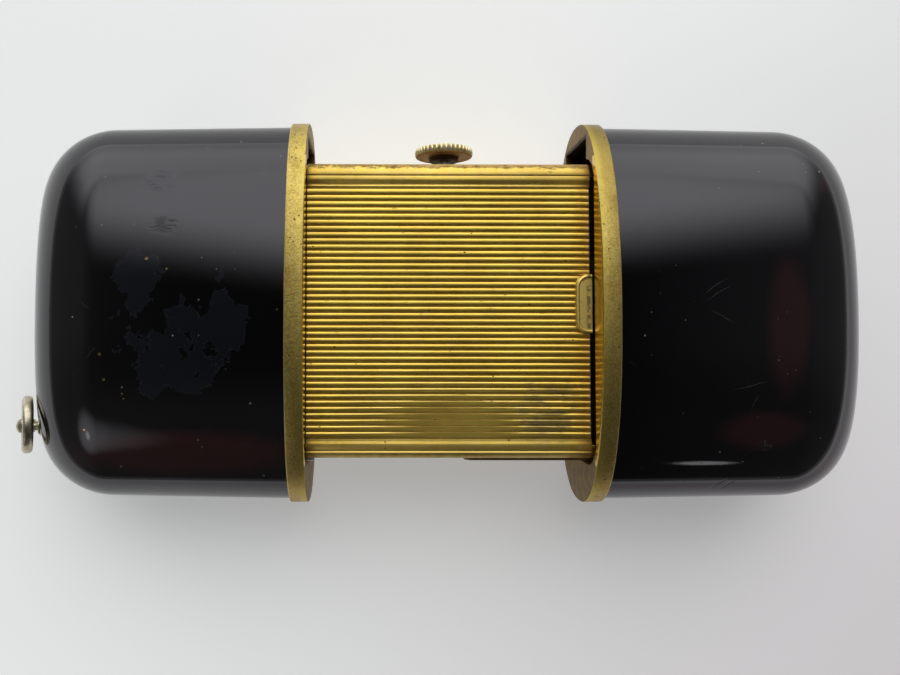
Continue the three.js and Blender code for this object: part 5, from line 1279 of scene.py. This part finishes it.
def flap_gilt():
    material, wires, place, shader = plain_material("ribbed gilt")
    x, y, z = wires.split(place)
    cloud = wires.noise(place, 260.0, 6.0, 0.6)
    fine = wires.noise(place, 1500.0, 5.0, 0.65)
    along = wires.noise(wires.stretch(place, ALONG_STRETCH), 1.0, 4.0, 0.6)
    field = wires.times(
        wires.step_mm(y, RIB_LOW_Y - 0.1, RIB_LOW_Y + 0.02),
        wires.step_mm(y, RIB_TOP_Y + 0.06, RIB_TOP_Y),
    )
    on_tab = wires.times(
        wires.step_mm(z, BACK_Z + 0.04, BACK_Z + 0.09),
        wires.step_mm(x, TAB_LEFT - 0.4, TAB_LEFT),
    )
    dull = patch_at(wires, place, WORN_SPOT, WORN_SPOT_HALF, WORN_SPOT_LOOK)
    groove = wires.times(field, wires.step_mm(z, BACK_Z - 0.05, RIB_FLOOR + 0.02))
    # Dirt and painted shade darken the grooves between the ribs and the seams along the edges.
    groove_dirt_and_shade = wires.times(groove, wires.step(dull, 1.0, 0.1, 0.55, 0.92))
    for seam in SEAMS_Y:
        groove_dirt_and_shade = wires.most(groove_dirt_and_shade, wires.step_mm(wires.apart(y, seam * MM), 0.05, 0.02, 0.0, 0.85))
    groove_dirt_and_shade = wires.times(groove_dirt_and_shade, wires.step_mm(z, BACK_Z - 0.005, BACK_Z - 0.03))
    end_zone = wires.step_mm(x, FLAP_RIGHT - 1.6, FLAP_RIGHT - 0.2)
    stain = wires.times(end_zone, wires.step(fine, 0.36, 0.60), wires.minus(1.0, on_tab))
    blocks = patch_at(wires, place, DARK_BLOCKS, DARK_BLOCKS_HALF, DARK_BLOCKS_LOOK)
    blocks = wires.times(blocks, wires.step(along, 0.43, 0.56))
    worn_edge = wires.step_mm(y, UNIT_HALF - 0.62, UNIT_HALF - 0.02)
    jagged = wires.noise(wires.stretch(place, JAGGED_STRETCH), 1.0, 6.0, 0.75)
    level = wires.plus(
        wires.times(worn_edge, wires.step_mm(x, *WORN_RIGHT_X)),
        wires.times(wires.minus(jagged, 0.5), 3.0),
    )
    brown = wires.step(level, 0.46, 0.52)
    crack = wires.times(
        wires.step(wires.apart(level, 0.47), 0.30, 0.08),
        wires.step(worn_edge, 0.02, 0.2),
    )
    blots = wires.step(wires.noise(place, 1900.0, 4.0, 0.6), 0.49, 0.52)
    # Painted shade: dark marks across the tab along the gap's line where it bends; fine dirt on the tab is
    # added to them.
    marks = wires.times(on_tab, wires.step_mm(wires.apart(x, TAB_MARK_X * MM), 0.20, 0.10), blots)
    grime_and_shade = wires.most(marks, wires.times(on_tab, wires.step(fine, 0.54, 0.64), 0.35))
    pit = wires.effect(SPECKS, place, Scale=1700.0, Share=0.12, Size=0.16)
    worn = wires.effect(EDGE_WEAR, place, Scale=1500.0, Amount=0.35)
    colour = wires.coats(GILDING, [
        (wires.step(cloud, 0.35, 0.7), 1.0, GILDING_DEEP), (groove_dirt_and_shade, 1.0, GROOVE_DIRT_AND_SHADE),
        (stain, 0.85, ORANGE_STAIN), (dull, 0.40, GILDING_DULL),
        # Painted shade: the lower bevel, which faces away from the light, is darkened.
        (wires.step_mm(y, *LOW_EDGE_Y), 0.62, LOW_EDGE_SHADE),
        (blocks, 0.72, BLOCK_BROWN), (brown, 0.8, WORN_BROWN), (crack, 0.8, CRACK_BROWN),
        # Painted sheen: the top of the tab is painted brighter gold.
        (on_tab, 0.8, TAB_SHEEN), (grime_and_shade, 0.9, GRIME_AND_SHADE), (pit, 0.9, PIT_BROWN), (worn, 0.35, GILDING_WORN),
    ])
    rough = wires.shares(0.29, [
        (fine, 0.08), (groove, 0.22), (stain, 0.08), (on_tab, 0.10), (dull, 0.10), (brown, 0.18),
        (blocks, 0.15), (grime_and_shade, 0.2), (wires.minus(1.0, field), 0.12),
    ])
    height = wires.shares(wires.times(fine, 0.5), [
        (along, 0.5), (pit, -1.0), (stain, -0.4), (brown, -0.7), (grime_and_shade, -0.8),
    ])
    shader["Metallic"].default_value = 1.0
    dress(wires, shader, colour, rough, height, 0.014, most_rough=0.85)
    return material


FLAP_GILT = flap_gilt()
print("flap finish ready")

# %% [markdown]
# The thumb tab is a small D-shaped lip at the free edge. Its rim is a round wire that was pressed up
# from the plate, and the hollow inside it catches dirt.

# %% Flap, knuckle, ribs and tab
TAB_HALF = 2.4
TAB_MIDDLE_Y = 0.5
TAB_REACH = 1.35
TAB_OVERHANG = 0.17
TAB_CORNER = 0.92
TAB_CORNER_STEPS = 8
TAB_RIM = 0.15
TAB_FOOT_Z = BACK_Z - 0.3
TAB_FLOOR_Z = BACK_Z + 0.12


def tab_outline(inset=0.0):
    """D shape as (X, Y) pairs, open side at the flap's free edge."""
    edge = FLAP_RIGHT + TAB_OVERHANG
    half = TAB_HALF - inset
    points = [(edge - inset * 0.4, TAB_MIDDLE_Y - half), (edge - inset * 0.4, TAB_MIDDLE_Y + half)]
    for side, quarter in ((1, 1), (-1, 2)):
        for i in range(TAB_CORNER_STEPS + 1):
            turn = (quarter + i / TAB_CORNER_STEPS) * math.pi / 2
            points.append((
                edge - TAB_REACH + inset + TAB_CORNER + TAB_CORNER * math.cos(turn),
                TAB_MIDDLE_Y + side * (half - TAB_CORNER) + TAB_CORNER * math.sin(turn),
            ))
    return points


def tab_pieces():
    ends = ([(x, y, z) for x, y in tab_outline()] for z in (TAB_FOOT_Z, TAB_FLOOR_Z))
    floor = bar_mesh("tab_floor", *ends)
    curve = bpy.data.curves.new("tab_rim", "CURVE")
    curve.dimensions = "3D"
    curve.bevel_depth = TAB_RIM * MM
    curve.bevel_resolution = 4
    curve.use_fill_caps = True
    inner = tab_outline(TAB_RIM)
    add_path(curve, [(x, y, TAB_TOP - TAB_RIM) for x, y in inner[1:] + inner[:1]], False)
    rim = turned_into_mesh(linked("tab_rim", curve))
    face_outwards(rim)
    return [floor, rim]


def build_flap():
    ends = ([(x, y, z) for y, z in FLAP_PROFILE] for x in (PLATE_LEFT, FLAP_EDGE))
    plate = linked("flap_plate", bar_mesh("flap_plate", *ends), FLAP_GILT)
    bevelled(plate, PLATE_EDGE, 50)
    pitch = (RIB_TOP_Y - RIB_LOW_Y) / RIB_COUNT
    ribs = grown("ribs", RIB_TREE, {
        "Length": (FLAP_EDGE - PLATE_LEFT - RIB_START_ROOM - RIB_END_ROOM) * MM,
        "Pitch": pitch * MM,
        "Depth": RIB_DEPTH * MM,
        "Wear": RIB_WEAR,
        "Worn Spot": RIB_WORN_SPOT,
        "Worn Middle": [v * MM for v in WORN_SPOT],
        "Worn Half": [v * MM for v in WORN_SPOT_HALF],
        "Count": RIB_COUNT,
        "Start": ((PLATE_LEFT + RIB_START_ROOM) * MM, (RIB_TOP_Y - pitch / 2) * MM, RIB_FLOOR * MM),
        "Finish": FLAP_GILT,
    })
    face_outwards(ribs)
    knuckle = round_bar_y(KNUCKLE_RADIUS, (HINGE_X, HINGE_Z), -KNUCKLE_HALF, KNUCKLE_HALF)
    flap = joined("stand_flap_gilt", [plate.data, ribs, knuckle, *tab_pieces()], FLAP_GILT)
    bpy.data.objects.remove(plate)
    finished(flap, "flap", ["stand_flap"])


build_flap()

# %% [markdown]
# ## Crown
# The crown is a fluted disc on a short hub. Its blank is turned, so its outline is swept round the
# stem's line. The flutes are half-round bars that Geometry Nodes set round the rim. Painted shade
# darkens the side that faces the watch.

# %% Crown finish
CROWN_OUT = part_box("crown")[1].y / MM
CROWN_LENGTH = 0.77
CROWN_IN = CROWN_OUT - CROWN_LENGTH
INNER_SHADE_PALE = (0.42, 0.27, 0.14)
INNER_SHADE_DEEP = (0.24, 0.14, 0.07)
HUB_SHADE = (0.025, 0.014, 0.009)
HUB_SHADE_RIM = (1.45, 1.25)


def inner_face(wires, place, colour, rough):
    """Painted shade on the side that faces the watch, darkest round the hub."""
    back = wires.step_mm(wires.split(place)[1], CROWN_IN + 0.16, CROWN_IN + 0.07)
    flat = wires.stretch(place, (1 / MM, 0.0, 1 / MM), (CROWN_X * MM, 0.0, MID_Z * MM))
    middle = wires.step(wires.length(flat), *HUB_SHADE_RIM)
    inner_shade = wires.blend(wires.noise(place, 2200.0, 4.0), INNER_SHADE_PALE, INNER_SHADE_DEEP)
    colour = wires.coats(colour, [(back, 1.0, inner_shade), (back, middle, HUB_SHADE)])
    return colour, wires.shares(rough, [(back, 0.3)])


CROWN_GILT = metal(
    "crown gilt", (0.84, 0.61, 0.16), (0.34, 0.20, 0.05), 0.28, cloud_scale=1400.0, pits=0.25,
    wear=(0.88, 0.78, 0.50), tarnish_share=0.9, mottle=0.4, extra=inner_face,
)
print("crown finish ready")

# %% [markdown]
# The flutes sit half inside the blank's rim, so the two need no cut. They are joined into one piece
# that turns with the crown.

# %% Crown
CROWN_FLUTES = 36
FLUTE_RADIUS = 0.17
FLUTE_SHARE = 0.49
RIM_RADIUS = CROWN_RADIUS - 0.14
CROWN_PROFILE = [
    (0.62, CROWN_IN - 0.35), (1.22, CROWN_IN - 0.35), (1.30, CROWN_IN - 0.28),
    (1.30, CROWN_IN), (1.36, CROWN_IN + 0.04), (RIM_RADIUS - 0.22, CROWN_IN + 0.04),
    (RIM_RADIUS - 0.12, CROWN_IN), (RIM_RADIUS - 0.04, CROWN_IN + 0.02), (RIM_RADIUS, CROWN_IN + 0.10),
    (RIM_RADIUS, CROWN_OUT - 0.12), (RIM_RADIUS - 0.08, CROWN_OUT - 0.03), (RIM_RADIUS - 0.3, CROWN_OUT),
    (0.9, CROWN_OUT - 0.01), (0.3, CROWN_OUT),
]


def flute_tree():
    """Short round bars on a circle about a line along Y."""
    tree, wires, given = size_tree("flute ring", ("Radius", "Width", "Length"), ("Middle",))
    circle = wires.add("GeometryNodeMeshCircle", {"Vertices": given["Count"], "Radius": given["Radius"]})
    bar = wires.add("GeometryNodeMeshUVSphere", {"Segments": 10, "Rings": 7, "Radius": given["Width"]})
    stretch = wires.math("DIVIDE", given["Length"], given["Width"])
    size = wires.add("ShaderNodeCombineXYZ", {0: 1.0, 1: 1.0, 2: stretch})
    long_bar = wires.add("GeometryNodeTransform", {"Geometry": bar, "Scale": size})
    place = {"Translation": given["Middle"], "Rotation": (math.pi / 2, 0, 0)}
    real = made_real(wires, circle, long_bar)
    return ended(tree, wires, given, wires.add("GeometryNodeTransform", {"Geometry": real, **place}))


def build_crown():
    blank = turned("blank", CROWN_PROFILE, (CROWN_X, MID_Z))
    flutes = grown("flutes", flute_tree(), {
        "Radius": (CROWN_RADIUS - FLUTE_RADIUS) * MM,
        "Width": FLUTE_RADIUS * MM,
        "Length": CROWN_LENGTH * FLUTE_SHARE * MM,
        "Count": CROWN_FLUTES,
        "Middle": (CROWN_X * MM, (CROWN_IN + CROWN_OUT) / 2 * MM, MID_Z * MM),
        "Finish": CROWN_GILT,
    })
    face_outwards(flutes)
    crown = joined("crown_fluted", [blank, flutes], CROWN_GILT)
    finished(crown, "winding_crown", ["crown"])


build_crown()

# %% [markdown]
# ## Chain ring and post
# A flattened wire ring hangs in the hole of a small pierced post. The ring is a swept oval, and the
# post is a turned ball with a hole bored through it.

# %% Ring and post
BALL_RADIUS = 0.85
BALL_STEPS = 14
HOLE_RADIUS = 0.65
HOLE_REACH = 2
BALL_END_TURN = math.pi * 0.97
NECK_RADIUS = 0.42
POST_EDGE = 0.04
POST_Y = spans("bail_post")[1][0]
POST_BASE_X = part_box("left_shell")[0].x / MM
HOLE = Vector((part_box("bail_post")[0].x / MM + BALL_RADIUS, POST_Y, MID_Z))
RING_RADIUS = 2.05
RING_HALF_WIDTH = 0.43
RING_HALF_THICK = 0.36
RING_FLATNESS = 0.7
RING_ROUNDNESS = 0.8
RING_ROLL = math.radians(9)
RING_LEAN = math.radians(25)
RING_STEPS = 96
WIRE_STEPS = 20
POST_COLLAR = [
    (0.4, POST_BASE_X + 1.0), (0.4, POST_BASE_X + 0.02), (0.80, POST_BASE_X - 0.03),
    (0.85, POST_BASE_X - 0.08), (0.85, POST_BASE_X - 0.18), (0.78, POST_BASE_X - 0.22),
    (NECK_RADIUS, POST_BASE_X - 0.26),
]


def build_chain_ring():
    middle = Vector((0, RING_RADIUS * math.sin(RING_ROLL), RING_RADIUS * math.cos(RING_ROLL)))
    points, faces = [], []
    for i in range(RING_STEPS):
        turn = i / RING_STEPS * 2 * math.pi
        a, b = i * WIRE_STEPS, ((i + 1) % RING_STEPS) * WIRE_STEPS
        for j in range(WIRE_STEPS):
            bend = j / WIRE_STEPS * 2 * math.pi
            c, s = math.cos(bend), math.sin(bend)
            flat_x = math.copysign(abs(c) ** RING_FLATNESS, c) * RING_HALF_WIDTH
            reach = RING_RADIUS + math.copysign(abs(s) ** RING_ROUNDNESS, s) * RING_HALF_THICK
            points.append(middle + Vector((flat_x, reach * math.cos(turn), reach * math.sin(turn))))
            k = (j + 1) % WIRE_STEPS
            faces.append((a + j, b + j, b + k, a + k))
    placing = Matrix.Scale(MM, 4) @ Matrix.Translation(HOLE) @ Matrix.Rotation(RING_LEAN, 4, "Y")
    ring = linked("chain_ring_wire", closed_mesh("chain_ring", points, faces, placing), PALE_GOLD)
    finished(ring, "chain_ring", ["bail_ring"], 1.2)


def build_post():
    start = math.asin(NECK_RADIUS / BALL_RADIUS)
    profile = list(POST_COLLAR)
    for i in range(BALL_STEPS + 1):
        turn = start + (BALL_END_TURN - start) * i / BALL_STEPS
        profile.append((BALL_RADIUS * math.sin(turn), HOLE.x + BALL_RADIUS * math.cos(turn)))
    post = linked("post_pierced", turned("post", profile, (POST_Y, MID_Z), 48, axis="X"), PALE_GOLD)
    hole = (HOLE.x, MID_Z)
    cut_by(post, [round_bar_y(HOLE_RADIUS, hole, POST_Y - HOLE_REACH, POST_Y + HOLE_REACH, 40)])
    bevelled(post, POST_EDGE, 50)
    finished(post, "left_half", ["bail_post"])


build_chain_ring()
build_post()

# %% [markdown]
# ## Plain metal parts
# The frame, bezel, inner back, hinge bracket and arms have the right shapes already, but their edges
# are knife sharp. A merged copy of each, with a small bevel on its edges, catches light the way a
# filed part does. The hinge bracket's ears and the pin end below the flap's plate, which hides them,
# and a small knurled knob closes the pin's lower end.

# %% Softened parts
FLAT_ANGLE = math.radians(1)
MERGE_REACH = 0.001
EAR_HALF_X = 3
EAR_OUT_Y = 14
EAR_LOW_Z = FLAP_FRONT_Z - 0.06
EAR_HIGH_Z = 15
KNOB_END = 0.75
KNOB_RADIUS = 0.38
KNOB_Z = 11.9
KNOB_TEETH = 14
KNOB_OUT = 0.28
KNOB_IN = 0.1
SOFT_PARTS = [
    ("unit_frame", "watch_unit", "gilt_brass", GILT, 0.06),
    ("front_bezel", "watch_unit", "gilt_brass", GILT, 0.08),
    ("inner_back", "watch_unit", "gilt_brass", INNER_GILT, 0.05),
    ("right_guide_arm", "right_half", "case_brass", ARM_BRASS, 0.05),
    ("left_guide_arm", "left_half", "case_brass", ARM_BRASS, 0.05),
]


def softened(node, body, slot, material, width):
    mesh = NODES[node].data.copy()
    work = bmesh.new()
    work.from_mesh(mesh)
    bmesh.ops.remove_doubles(work, verts=work.verts, dist=MERGE_REACH * MM)
    bmesh.ops.dissolve_limit(work, angle_limit=FLAT_ANGLE, verts=work.verts, edges=work.edges)
    work.to_mesh(mesh)
    work.free()
    for layer in list(mesh.attributes):
        if layer.name in ("custom_normal", "sharp_face"):
            mesh.attributes.remove(layer)
    obj = linked(node + "_soft", mesh, material)
    bevelled(obj, width, 30)
    finished(obj, body, [node])
    return obj


def build_hinge():
    bracket = softened("hinge_bracket", "watch_unit", "gilt_brass", GILT, 0.04)
    left, right = HINGE_X - EAR_HALF_X, HINGE_X + EAR_HALF_X
    ears = ((KNUCKLE_HALF + 0.03, EAR_OUT_Y), (-EAR_OUT_Y, -KNUCKLE_HALF - 0.03))
    cut_by(bracket, [
        block_mesh("ear top", (left, low, EAR_LOW_Z), (right, high, EAR_HIGH_Z)) for low, high in ears
    ])
    hinge = (HINGE_X, HINGE_Z)
    pin_mesh = round_bar_y(PIN_RADIUS, hinge, -KNUCKLE_HALF - 0.02, KNUCKLE_HALF + 0.02, 20)
    finished(linked("hinge_pin_short", pin_mesh, STEEL), "watch_unit", ["hinge_pin"])
    low, high = -UNIT_HALF - KNOB_OUT, -UNIT_HALF + KNOB_IN
    profile = [
        (KNOB_END * KNOB_RADIUS, low), (KNOB_RADIUS, low + BAR_CHAMFER),
        (KNOB_RADIUS, high - BAR_CHAMFER), (KNOB_END * KNOB_RADIUS, high),
    ]
    knob_mesh = turned("knurled", profile, (HINGE_X, KNOB_Z), 4 * KNOB_TEETH, teeth=KNOB_TEETH)
    finished(linked("hinge_pin_knob", knob_mesh, KNOB_STEEL), "watch_unit")


for part in SOFT_PARTS:
    softened(*part)
build_hinge()

# %% [markdown]
# ## Finishes of the carried-over nodes
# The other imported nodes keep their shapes. Each takes the worn metal that its finish slot names.

# %% Carried-over nodes
SLOT_FINISH = {
    "case_brass": BAND_BRASS,
    "gilt_brass": GILT,
    "pale_gold": PALE_GOLD,
    "steel": STEEL,
    "blued_steel": STEEL,
    "nickel_plate": NICKEL,
    "dial_enamel": ENAMEL,
    "crystal_glass": GLASS,
    "black_lacquer": LEFT_LACQUER,
}

for obj in NODES.values():
    finish = SLOT_FINISH[obj.data.materials[0].name.split(".")[0]]
    for entry in obj.material_slots:
        entry.material = finish
print("nodes with a finish:", len(NODES))

# %% [markdown]
# ## Dial
# Plain numerals and a ring of minute marks, raised a hair above the enamel. The numerals are text
# turned into mesh. The marks repeat, so Geometry Nodes set sixty of them on a circle, and twelve
# larger ones on top for the hours.

# %% Dial figures
DIAL_LOW, DIAL_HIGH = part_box("dial")
DIAL_X = (DIAL_LOW.x + DIAL_HIGH.x) / 2
PAINT_Z = DIAL_LOW.z - 0.010 * MM
NUMERAL_RADIUS = 7.35
NUMERAL_SIZE = 1.9
NUMERAL_DEPTH = 0.012
MARK_RADIUS = 8.75
MARK_HEIGHT = 0.024
MARK_RINGS = [(60, 0.45, 0.07), (12, 0.62, 0.20)]
FACE_DOWN = Matrix.Rotation(math.pi, 4, "Y")


def numeral_mesh(text, place):
    curve = bpy.data.curves.new("numeral", "FONT")
    curve.body = text
    curve.size = NUMERAL_SIZE * MM
    curve.align_x = "CENTER"
    curve.align_y = "CENTER"
    curve.extrude = NUMERAL_DEPTH * MM
    curve.resolution_u = 6
    mesh = turned_into_mesh(linked("numeral", curve))
    mesh.transform(Matrix.Translation(place) @ FACE_DOWN)
    return mesh


def build_numerals():
    meshes = []
    for hour in range(1, 13):
        turn = math.radians(30 * hour)
        x = DIAL_X - math.sin(turn) * NUMERAL_RADIUS * MM
        y = math.cos(turn) * NUMERAL_RADIUS * MM
        meshes.append(numeral_mesh(str(hour), Vector((x, y, PAINT_Z))))
    obj = joined("dial_numerals", meshes, INK)
    face_outwards(obj.data)
    finished(obj, "watch_unit")


def mark_tree():
    """Small bars on a circle that point at its middle."""
    tree, wires, given = size_tree("minute marks", ("Radius", "Length", "Width", "Height"), ("Middle",))
    circle = wires.add("GeometryNodeMeshCircle", {"Vertices": given["Count"], "Radius": given["Radius"]})
    size = wires.add("ShaderNodeCombineXYZ", {0: given["Length"], 1: given["Width"], 2: given["Height"]})
    bar = wires.add("GeometryNodeMeshCube", {"Size": size})
    here = wires.add("GeometryNodeInputPosition")
    aim = wires.add("FunctionNodeAlignRotationToVector", {"Vector": here}, axis="X")
    real = made_real(wires, circle, bar, Rotation=aim)
    moved = wires.add("GeometryNodeTransform", {"Geometry": real, "Translation": given["Middle"]})
    return ended(tree, wires, given, moved)


def build_marks():
    tree = mark_tree()
    meshes = [
        grown("marks", tree, {
            "Radius": MARK_RADIUS * MM, "Length": length * MM, "Width": width * MM,
            "Height": MARK_HEIGHT * MM, "Count": count, "Middle": (DIAL_X, 0.0, PAINT_Z), "Finish": INK,
        })
        for count, length, width in MARK_RINGS
    ]
    finished(joined("dial_minute_marks", meshes, INK), "watch_unit")


build_numerals()
build_marks()
